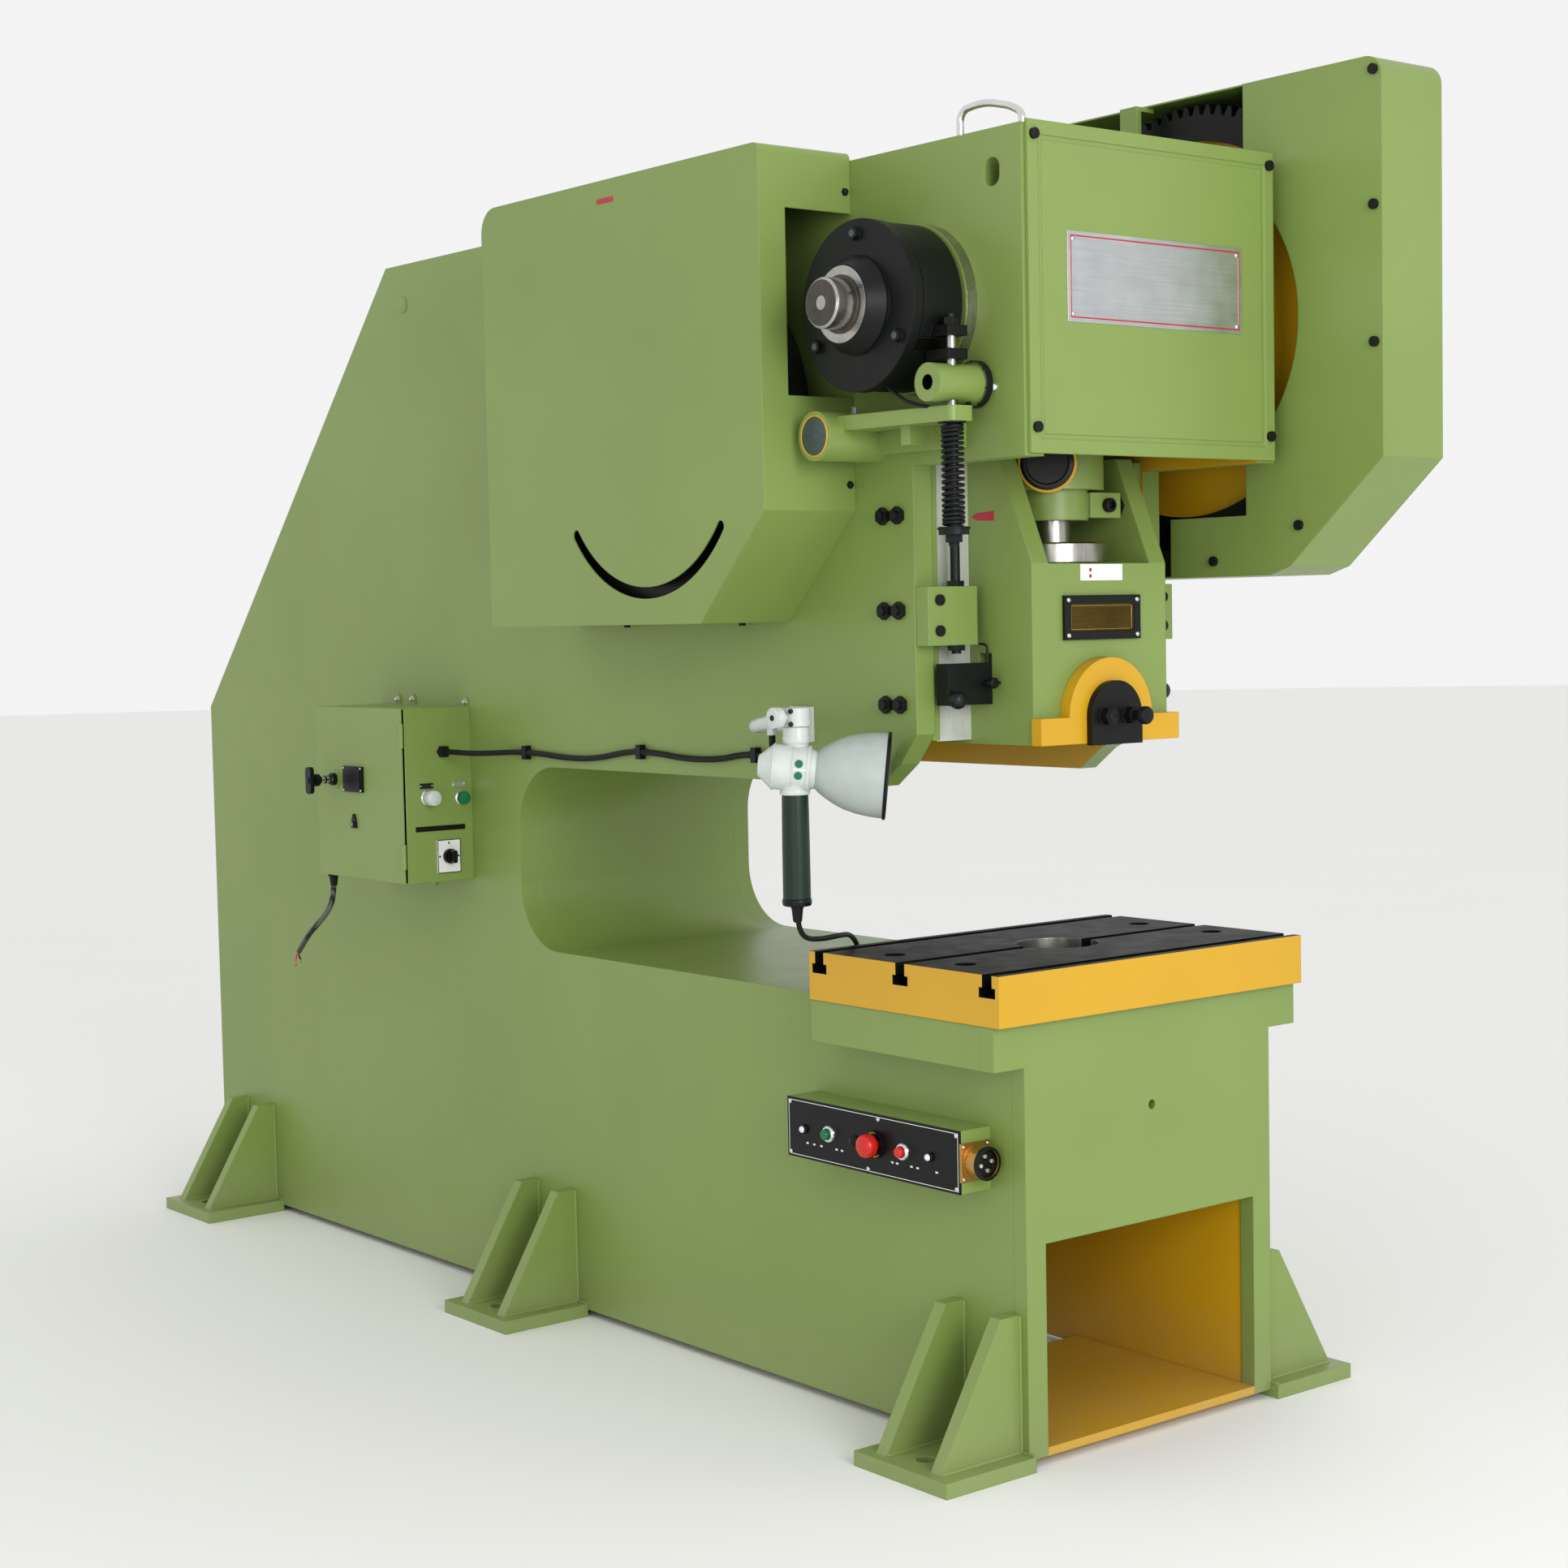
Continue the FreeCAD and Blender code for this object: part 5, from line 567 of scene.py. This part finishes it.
def stroke_scale():
    """Scale on the guide ear, and the red pointer on the ram's side."""
    bm = bmesh.new()
    where = place((-182.5, 270, 1481), AHEAD)
    slab(bm, where, rectangle(35, 68, (0, 34)), 1.0, 1)
    slab(bm, where, rectangle(35, 32, (0, 86)), 1.4)
    for i in range(14):
        long = 16 if i % 5 == 0 else 9
        slab(bm, where, rectangle(long, 1.0, (17 - long / 2, 2 + i * 5)), 0.3, 3 if i == 4 else 2, 1.0)
    for z in (77, 84, 91, 98):
        slab(bm, where, rectangle(13, 3.4, (-6 if z % 2 else -8, z)), 0.3, 2, 1.4)
    piece("stroke_scale", bm, [PRINT_WHITE, ALUMINIUM, PRINT_BLACK, PRINT_RED], "slide")
    bm = bmesh.new()
    where = place((-156, 233, 1502), LEFT)
    slab(bm, where, [(-28, 0), (-14, -6), (27, -8), (27, 8), (-14, 6)], 1.2)
    piece("scale_pointer", bm, [PRINT_RED], "slide", soften=0.4)


def rod_fittings():
    """Dark plug on the connecting rod, and the split clamp's bolts."""
    bm = bmesh.new()
    out = Vector((-0.74, -0.66, 0))
    turned(bm, place((-65, 174, 1588), out), [(-14, 0), (-14, 44), (3, 44), (5, 41), (5, 36), (1, 34), (1, 0)], 36)
    turned(bm, place((-65, 174, 1588), out), [(-13, 49), (1, 49), (2, 47), (2, 44.5), (-13, 44.5)], 36, 1)
    piece("rod_oil_plug", bm, [CAST_BLACK, YELLOW], "slide")
    bm = bmesh.new()
    socket_screw(bm, place((70, 170, 1520), AHEAD), 12, 12)
    turned(bm, place((102, 191, 1520), (1, 0, 0)), [(-2, 0), (-2, 17), (2, 17), (2, 14), (6, 14), (6, 0)], 32)
    turned(bm, place((106, 191, 1520), (1, 0, 0)), [(0, 0), (0, 15), (13, 15), (15, 13), (15, 0)], 6)
    turned(bm, place((121, 191, 1520), (1, 0, 0)), [(0, 0), (0, 8), (16, 8), (18, 6.5), (18, 0)], 24)
    piece("rod_clamp_bolts", bm, [OXIDE], "slide", soften=0.8)


def clamp_studs():
    """Short stud end in the left nut of the half-round clamp plate, and the right one's long round-headed bolt."""
    bm = bmesh.new()
    turned(bm, place((-27, 67, 1171), AHEAD), [(-1, 0), (-1, 9), (1, 9), (2, 7), (2, 0)], 24)
    turned(bm, place((27, 67, 1171), AHEAD),
           [(-1, 0), (-1, 9), (14, 9), (14, 13), (16, 15), (24, 15), (27, 13), (28.5, 8), (29, 0)], 28)
    piece("clamp_studs", bm, [OXIDE], "slide")


def knockout_details():
    """Wire hook, thumb screw, cross pin and round knob at each end of the knock-out bar."""
    bm = bmesh.new()
    for side in (-1, 1):
        hook = [(-164, 219, 1258), (-164, 219, 1276), (-164, 220, 1289), (-169, 222, 1293), (-178, 222, 1293)]
        swept(bm, [at(-side * x, y, z) for x, y, z in hook], 2.2, 10)
        screw = place((side * 172, 217, 1229), AHEAD)
        turned(bm, screw, [(-2, 0), (-2, 5), (14, 5), (15, 9), (24, 9), (26, 7), (26, 0)], 20)
        swept(bm, [at(side * 172 - 15, 197, 1229), at(side * 172 + 15, 197, 1229)], 2.4, 10)
        ball = place((side * 240, 217, 1203), AHEAD)
        turned(bm, ball, [(-2, 0), (-2, 12), (4, 14.5), (10, 15), (16, 13), (20, 8), (21.5, 0)], 28, 1)
    piece("knockout_fittings", bm, [OXIDE, CAST_BLACK], "knockout")


def coil_spring():
    """Wound brake spring with closed ends."""
    bm = bmesh.new()
    low, high, mean, wire, coils = 1478.0, 1638.0, 15.5, 3.1, 19
    steps = 20 * coils
    spots = []
    for i in range(steps + 1):
        share = i / steps
        # the end coils lie flat against each other, and the rest are evenly apart
        rise = 0.5 - 0.5 * math.cos(math.pi * share)
        height = low + wire + (high - low - 2 * wire) * (0.35 * rise + 0.65 * share)
        turn = 2 * math.pi * coils * share
        spots.append(at(-355 + mean * math.cos(turn), 86 + mean * math.sin(turn), height))
    swept(bm, spots, wire, 8)
    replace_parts(piece("brake_coil_spring", bm, [OXIDE], "frame"), "brake_spring")


def brake_fittings():
    """Hook of the release spring, washers and the drum hub's bright end."""
    bm = bmesh.new()
    for z, r in ((1638, 22), (1474, 26)):
        turned(bm, place((-355, 86, z), UP, (0, 1, 0)), [(0, 9), (0, r), (2.5, r), (3.5, r - 1.5), (3.5, 9)], 32)
    # dark sleeve on the rod inside the spring, as painted shade between the coils
    turned(bm, place((-355, 86, 1478), UP, (0, 1, 0)), [(0, 8.1), (0, 9.2), (160, 9.2), (160, 8.1)], 24)
    for i in range(9):
        z = 1450 + i * 2.6
        turned(bm, place((-355, 86, z), UP, (0, 1, 0)), [(0, 7.9), (0.6, 8.7), (1.4, 8.7), (2.0, 7.9)], 20)
    arc = [(-398, 190, 1702), (-398, 172, 1690), (-394, 150, 1676), (-388, 128, 1668), (-380, 112, 1664)]
    swept(bm, [at(*spot) for spot in arc], 3.0, 10)
    hose = [(-330, 96, 1690), (-322, 82, 1668), (-318, 88, 1652), (-322, 104, 1646)]
    swept(bm, [at(*spot) for spot in hose], 4.2, 10, 1)
    # recessed cap and its rim on the lever's boss, a screw on the lever and a round bolt head on the cheek
    boss = place((-423, 341, 1633), LEFT)
    turned(bm, boss, [(-1, 0), (-1, 31), (0.5, 31), (1, 28), (0.4, 12), (1.2, 5), (1.4, 0)], 40, 2)
    turned(bm, boss, [(-1, 31), (0.4, 31.2), (1.4, 32), (1.4, 33.6), (0, 34.4), (-1, 34.4)], 40, 3)
    turned(bm, place((-411, 254, 1664), UP, (0, 1, 0)), [(-1, 0), (-1, 5), (9, 5), (10, 4), (10, 0)], 20, 2)
    turned(bm, place((-288, 61, 1694), LEFT), [(0, 0), (0, 7), (3, 6.4), (6, 4), (7, 0)], 24, 4)
    piece("brake_fittings", bm, [OXIDE, RUBBER, CAP_STEEL, YELLOW, CHROME], "frame")
    bm = bmesh.new()
    stub = place((-494, 232, 1830), LEFT)
    turned(bm, stub, [(-2, 0), (-2, 36), (0.6, 36), (0.6, 14), (-1, 6), (-1, 0)], 40)
    turned(bm, place((-454, 232, 1830), LEFT), [(0, 40), (0, 46), (3, 46), (4, 45), (4, 40)], 40)
    for turn in (90, 210, 330):
        a = math.radians(turn)
        turned(bm, place((-429, 232 + 112 * math.cos(a), 1830 + 112 * math.sin(a)), LEFT),
               [(-0.5, 0), (-0.5, 6), (1, 5.6), (1.4, 0)], 20, 1)
    turned(bm, place((-454, 184, 1853), LEFT), [(-1, 0), (-1, 4), (2, 3.4), (3, 0)], 16, 1)
    piece("crank_end", bm, [OILY_STEEL, CAP_STEEL], "crank")


# ================================================================ control box
def pressed_cap(name, where, profile, finish, body, node):
    """Turned button that stands for a CAD one."""
    bm = bmesh.new()
    turned(bm, where, profile, 40)
    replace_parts(piece(name, bm, [finish], body), node)


def box_front():
    """Bare label strips, bezels and the selector's escutcheon on the control box's front."""
    bm = bmesh.new()
    for x, tone in ((-395.5, 0), (-319.5, 1)):
        slab(bm, place((x, 1630, 1018), AHEAD), rectangle(31, 11), 1.2, tone)
        for side in (-13, 13):
            dome_screw(bm, place((x + side, 1628.8, 1018), AHEAD), 1.4, 2)
    for x, z, r in ((-392, 994, 13), (-314, 990, 11)):
        turned(bm, place((x, 1630, z), AHEAD), [(0, r - 4), (0, r + 4), (1.5, r + 4), (3.5, r + 1.5), (3.5, r - 4)],
               36, 2)
    rim(bm, place((-348, 1627, 873), AHEAD), 54, 68, 1.6, 0.6, 3)
    for x in (-370, -326):
        slab(bm, place((x, 1627, 873), AHEAD), circle(2.2, 16), 0.4, 3)
    slab(bm, place((-348, 1627, 900), AHEAD), circle(2.2, 16), 0.4, 3)
    piece("box_labels", bm, [PRINT_BLACK, ALUMINIUM, CHROME, PRINT_BLACK], "frame", soften=0.3)
    pressed_cap("stop_cap", place((-392, 1630, 994), AHEAD),
                [(-22, 0), (-22, 8), (5, 8), (5, 14.8), (7, 16), (24, 16), (28, 14.8), (29.6, 12), (30, 0)],
                CREAM, "stop", "stop_button")
    pressed_cap("start_cap", place((-314, 1630, 990), AHEAD),
                [(-22, 0), (-22, 7), (5, 7), (5, 11.8), (6.5, 13), (15, 13), (17.4, 11.8), (18, 9.6), (17, 0)],
                GREEN, "start", "start_button")


def box_lugs():
    """Fixing lugs of the control box on the cheek, with their screws."""
    bm = bmesh.new()
    for y, z, rise in ((1915, 1186, 1), (1854, 1187, 1), (1644, 1183, 1), (1786, 809, -1)):
        where = place((-288, y, z), LEFT)
        outline = [(-11, -13 * rise), (11, -13 * rise), (11, 4 * rise), (6, 11 * rise), (-6, 11 * rise),
                   (-11, 4 * rise)]
        slab(bm, where, outline, 3)
        turned(bm, where, [(3, 0), (3, 7), (4, 7), (4, 5.2), (8, 5.2), (8.6, 4), (8.6, 0)], 6, 1)
    piece("box_lugs", bm, [SAGE, ALUMINIUM], "frame", soften=0.6)


def door_switch():
    """Black isolator block beside the turning handle, and the door's fasteners."""
    bm = bmesh.new()
    where = place((-445.2, 1834, 1027.5), LEFT)
    slab(bm, where, rectangle(78, 53), 6)
    slab(bm, where, rectangle(68, 43), 2.5, start=6)
    for x in (-35, 35):
        for z in (-22.5, 22.5):
            dome_screw(bm, where @ Matrix.Translation((x, z, 6)), 2.4, 1)
    piece("door_block", bm, [PHENOLIC, CHROME], "door", soften=0.8)
    bm = bmesh.new()
    where = place((-445.3, 1837, 940), LEFT)
    slab(bm, where, [(-10, -14), (10, -14), (10, -4), (3, 15), (-3, 15), (-10, -4)], 4)
    turned(bm, where @ Matrix.Translation((0, -6, 0)), [(4, 0), (4, 6), (7, 5.4), (7, 0)], 24)
    slab(bm, where @ Matrix.Translation((0, -6, 0)), rectangle(1.6, 8), 0.4, 1, 7)
    piece("door_locks", bm, [PHENOLIC, CHROME], "door", soften=0.3)
    bm = bmesh.new()
    for x, r in ((-459.5, 9.6), (-470, 8.4), (-482, 8.4)):
        turned(bm, place((x, 1912, 1025), LEFT), [(0, 7), (0, r), (3, r), (3, 7)], 32)
    turned(bm, place((-510.8, 1912, 1025), LEFT), [(-1, 0), (-1, 7), (1.2, 7), (2, 6), (2, 0)], 24)
    piece("isolator_collars", bm, [PHENOLIC], "isolator")


# ================================================================ console under the table
def console_face():
    """Border, screws and small bare marks on the console's black face."""
    bm = bmesh.new()
    rim(bm, place((-355.2, 312.5, 476), LEFT), 427, 94, 1.1, 0.3)
    for y in (477, 459, 440, 400, 386, 258, 246, 211, 196, 150):
        slab(bm, place((-355.2, y, 453), LEFT), rectangle(6, 3), 0.3)
    for y, z in ((292, 519), (319, 433), (103, 519), (522, 433), (103, 433), (522, 519)):
        dome_screw(bm, place((-355.2, y, z), LEFT), 4, 1)
    piece("console_marks", bm, [PRINT_WHITE, CHROME], "frame")
    bm = bmesh.new()
    turned(bm, place((-355.2, 302, 476), LEFT), [(0, 19), (0, 23.4), (1, 23.4), (1.4, 22.4), (1.4, 19)], 48)
    piece("emergency_ring", bm, [SIGNAL_YELLOW], "frame")
    bm = bmesh.new()
    turned(bm, place((-355.2, 352, 474), LEFT),
           [(0, 0), (0, 10), (3, 10), (4, 8.8), (7, 7.8), (9, 6), (10, 3.4), (10.2, 0)], 32)
    for y in (165, 484):
        turned(bm, place((-361.2, y, 476), LEFT), [(-1, 0), (-1, 5.8), (2, 5.4), (3.6, 4), (4.4, 2), (4.5, 0)], 32, 1)
        turned(bm, place((-355.2, y, 476), LEFT), [(0, 6), (0, 8.4), (3, 8), (4, 6.6), (4, 6)], 32)
    piece("console_lenses", bm, [PHENOLIC, LILAC_WHITE], "frame")


def console_caps():
    """Mushroom and two flush caps, and the chromed bezels round the flush caps."""
    pressed_cap("emergency_cap", place((-352, 302, 476), LEFT),
                [(-30, 0), (-30, 10), (11.2, 10), (11.2, 15.5), (13, 18.8), (16, 19.5), (24, 19.5), (29, 18),
                 (32.4, 14), (34, 8), (34.2, 0)], RED, "emergency", "emergency_stop")
    flush = [(-30, 0), (-30, 6), (9.2, 6), (9.2, 8.6), (10.4, 9), (15.5, 9), (17.4, 8.2), (18.2, 7), (17.2, 0)]
    pressed_cap("run_cap", place((-352, 418, 477), LEFT), flush, GREEN, "run", "run_button")
    pressed_cap("inch_cap", place((-352, 230, 475), LEFT), flush, RED, "inch", "inch_button")
    bm = bmesh.new()
    for y, z in ((418, 477), (230, 475)):
        turned(bm, place((-355.2, y, z), LEFT), [(0, 10), (0, 15), (2, 15), (6, 13.4), (7, 12), (7, 10)], 48)
    piece("console_bezels", bm, [CHROME], "frame")


def socket_inside():
    """Black insulator with four pins, and the fixing screws of the round socket."""
    bm = bmesh.new()
    turned(bm, place((-325, 95, 476), AHEAD), [(7, 0), (7, 21.7), (26, 21.7), (27.5, 20.4), (27.5, 0)], 40)
    for turn in range(4):
        a = math.radians(90 * turn + 12)
        turned(bm, place((-325 + 12 * math.cos(a), 95, 476 + 12 * math.sin(a)), AHEAD),
               [(27, 0), (27, 3.6), (30, 3.6), (30.6, 3), (30.6, 0)], 16, 2)
    for x in (-26, 26):
        for z in (-26, 26):
            dome_screw(bm, place((-325 + x, 90, 476 + z), AHEAD), 3, 2)
    turned(bm, place((-325, 95, 476), AHEAD), [(29, 22), (29, 27.4), (33.4, 27.2), (33.8, 26), (33.8, 22)], 48)
    piece("socket_inside", bm, [PHENOLIC, BRASS, CHROME], "frame")


# ================================================================ lamp
LAMP_AT = (-452, 372, 1098)
LAMP_AIM = (0.745, -0.66, -0.1)


def lamp_shade():
    """Spun bell shade with its rolled dark lip."""
    bm = bmesh.new()
    where = place(LAMP_AT, LAMP_AIM)
    outside = [(34, 29), (37, 32.5), (44, 38.5), (54, 45), (68, 53), (84, 60), (104, 65.4), (126, 68.6), (148, 70)]
    inside = [(height + 1.2, radius - 1.6) for height, radius in reversed(outside)]
    turned(bm, where, outside + inside + outside[:1], 64)
    turned(bm, where, [(147, 69), (148, 71.4), (150.6, 72.6), (153, 71.4), (153.6, 69), (151, 67.6), (148, 67.6),
                       (147, 69)], 64, 1)
    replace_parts(piece("lamp_bell", bm, [SHADE_WHITE, PHENOLIC], "lamp"), "lamp_shade")


def lamp_body():
    """Bands and marks on the lamp's body, and its rear cap."""
    bm = bmesh.new()
    where = place(LAMP_AT, LAMP_AIM)
    for low, high, tone in ((-36, -33, 0), (20, 26, 0), (-4, -1, 0)):
        turned(bm, where, [(low, 36), (low, 38), (low + 0.6, 38.5), (high - 0.6, 38.5), (high, 38), (high, 36)], 56, tone)
    turned(bm, where, [(-60, 0), (-60, 15), (-58, 18.5), (-56, 19), (-56, 12)], 40, 0)
    # two round green marks, one above the other, parted by a white line, on the side turned to the left
    aim = Vector(LAMP_AIM).normalized()
    side = aim.cross(Vector(UP)).normalized()
    for lean in (-15, 15):
        out = Matrix.Rotation(math.radians(lean), 3, aim) @ side
        turned(bm, place(Vector(LAMP_AT) + aim * 8 + out * 35.4, out, aim), [(0, 0), (0, 6.6), (2.6, 6.6), (3, 0)],
               28, 1)
    slab(bm, place(Vector(LAMP_AT) + aim * 8 + side * 35.4, side, aim), rectangle(2.2, 26), 2.2, 2)
    piece("lamp_marks", bm, [CREAM, GREEN, PRINT_WHITE], "lamp", soften=0.3)
    bm = bmesh.new()
    turned(bm, place((-452, 372, 1058), UP, (0, 1, 0)),
           [(-3, 18), (-3, 24), (-1, 25), (4, 25), (6, 24), (12, 26), (20, 29), (26, 29)], 48)
    turned(bm, place((-445, 375, 1138), UP, (0, 1, 0)),
           [(0, 18), (0, 21.5), (2, 22.5), (10, 22.5), (12, 21.5), (26, 21.5), (27, 18)], 48)
    piece("lamp_stem", bm, [CREAM], "lamp")


def lamp_grip():
    """Turned grip under the lamp, with its end cap."""
    bm = bmesh.new()
    where = place((-452, 372, 873), UP, (0, 1, 0))
    turned(bm, where, [(0, 0), (0, 20), (1, 23), (4, 24.2), (9, 24.4), (12, 23.6), (13, 22.6)], 48, 1)
    turned(bm, where, [(13, 18), (13, 22.8), (40, 22.8), (100, 22.6), (150, 22.2), (178, 21.8), (184, 21.4), (185, 20),
                       (185, 0)], 48)
    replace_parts(piece("lamp_grip", bm, [HANDLE_GREEN, PHENOLIC], "lamp"), "lamp_handle")


def lamp_knob():
    """Clamp knob and screws on the arm's socket."""
    bm = bmesh.new()
    where = place((-479, 375, 1181), LEFT)
    ridges = [(2, 17.5), (12, 17.5)]
    turned(bm, where, [(0, 0), (0, 16)] + ridges + [(14, 15.6), (15, 13), (15, 0)], 12)
    turned(bm, where, [(15, 0), (15, 5), (17, 4.4), (17, 0)], 20, 1)
    for z in (1170, 1191):
        turned(bm, place((-466, 362, z), (-0.7, -0.7, 0)), [(-3, 0), (-3, 4.2), (3, 4.2), (4, 3.4), (4, 0)], 20, 1)
    for y, z in ((531, 1142), (569, 1142), (531, 1178), (569, 1178)):
        dome_screw(bm, place((-294, y, z), LEFT), 4.5, 1)
    piece("lamp_clamp_knob", bm, [CREAM, PHENOLIC], "frame", soften=0.8)


# ================================================================ guards, frame and feet
def guard_fittings():
    """Bare red strip and screws on the left guard, and the round plugs on both cheeks."""
    bm = bmesh.new()
    slab(bm, place((-482, 828.5, 2069.5), LEFT), rectangle(49, 9), 0.5)
    for y, z in ((412, 2040), (412, 1900), (412, 1720), (412, 1560)):
        turned(bm, place((-300, 400, z), AHEAD), [(0, 0), (0, 7), (1.4, 7), (1.4, 5), (5, 5), (5.6, 4), (5.6, 0)], 6, 1)
    for y in (700, 1050):
        turned(bm, place((-300, y, 1335), DOWN, (0, 1, 0)), [(-1, 0), (-1, 6.5), (5, 6.5), (5, 0)], 6, 1)
    piece("guard_strip", bm, [PRINT_RED, OXIDE], "frame")
    bm = bmesh.new()
    for side in (-1, 1):
        turned(bm, place((side * 288, 1850, 2009), (side, 0, 0)),
               [(0, 0), (0, 17), (1.2, 16.6), (2.2, 14), (2.6, 9), (2.7, 0)], 32)
    piece("cheek_plugs", bm, [SAGE], "frame")


def weld(bm, first, last, width=6.0):
    """Fillet bead between two points: a low ridge whose ripples stand 5 mm apart."""
    first, last = at(*first), at(*last)
    steps = max(4, int((last - first).length / (2.5 * MM)))
    points = [first.lerp(last, i / steps) for i in range(steps + 1)]
    swept(bm, points, [width * (0.80 if i in (0, steps) else (1.0, 1.14)[i % 2]) / 2 for i in range(steps + 1)], 8)


def weld_beads():
    """Beads where the foot gussets meet the feet and the side plates, and along each foot's inner edge."""
    bm = bmesh.new()
    for side in (-1, 1):
        for centre in (110, 1364, 2618):
            for gusset in (-65, 65):
                for face in (-12.5, 12.5):
                    y = centre + gusset + face
                    weld(bm, (side * 289.5, y, 13), (side * 289.5, y, 231))
                    weld(bm, (side * 291, y, 11.5), (side * 460, y, 11.5))
            for low, high in ((-108, -79), (-50, 50), (79, 108)):
                weld(bm, (side * 289.5, centre + low, 12), (side * 289.5, centre + high, 12))
    piece("foot_welds", bm, [SAGE], "frame")


# ================================================================ floor and light
def pale_floor():
    """Wide pale floor, painted matt."""
    material, tree, shader, place_at = start("matt_floor_paint", Roughness=0.75)
    drift = add(tree, "ShaderNodeTexNoise", {"Vector": place_at, "Scale": per_mm(900), "Detail": 2.0})
    tone = add(tree, "ShaderNodeMapRange", {"Value": drift.outputs["Fac"], "To Min": 0.99, "To Max": 1.01})
    paint = add(tree, "ShaderNodeHueSaturation", {"Value": tone.outputs[0], "Color": linear("f2f2f0")})
    tree.links.new(paint.outputs[0], shader.inputs["Base Color"])
    bm = bmesh.new()
    rings = [[bm.verts.new((x, y, 0)) for x, y in circle(radius, 48)] for radius in (4, 40)]
    bm.faces.new(rings[0])
    for i in range(48):
        j = (i + 1) % 48
        bm.faces.new((rings[0][i], rings[1][i], rings[1][j], rings[0][j]))
    mesh = bpy.data.meshes.new("floor")
    bm.to_mesh(mesh)
    bm.free()
    mesh.materials.append(material)
    floor = bpy.data.objects.new("floor", mesh)
    bpy.context.scene.collection.objects.link(floor)


def softbox(name, spot, target, size, watts):
    """Square soft light at a spot, turned to a target, in metres."""
    light = bpy.data.lights.new(name, "AREA")
    light.size = size
    light.energy = watts
    obj = bpy.data.objects.new(name, light)
    obj.location = spot
    obj.rotation_euler = (Vector(target) - Vector(spot)).to_track_quat("-Z", "Y").to_euler()
    bpy.context.scene.collection.objects.link(obj)


def studio():
    """Even white room light, with a soft key in front and a low fill ahead on the left."""
    scene = bpy.context.scene
    scene.view_settings.view_transform = "Standard"
    world = bpy.data.worlds.new("white_room")
    world.use_nodes = True
    world.node_tree.nodes["Background"].inputs[0].default_value = (1.0, 1.0, 1.0, 1.0)
    world.node_tree.nodes["Background"].inputs[1].default_value = 0.9
    scene.world = world
    softbox("key", (-1.7, -6.6, 2.5), (-0.1, -0.6, 1.2), 2.6, 165)
    softbox("low_fill", (-4.8, -3.9, 1.2), (0.1, -0.8, 1.0), 1.6, 20)


stand_camera()
finish_nodes()
paint_faces()
lamp_lead()
supply_lead()
clipped_cable()
head_plates()
ram_plates()
stroke_scale()
rod_fittings()
clamp_studs()
knockout_details()
coil_spring()
brake_fittings()
box_front()
box_lugs()
door_switch()
console_face()
console_caps()
socket_inside()
lamp_shade()
lamp_body()
lamp_grip()
lamp_knob()
guard_fittings()
weld_beads()
pale_floor()
studio()
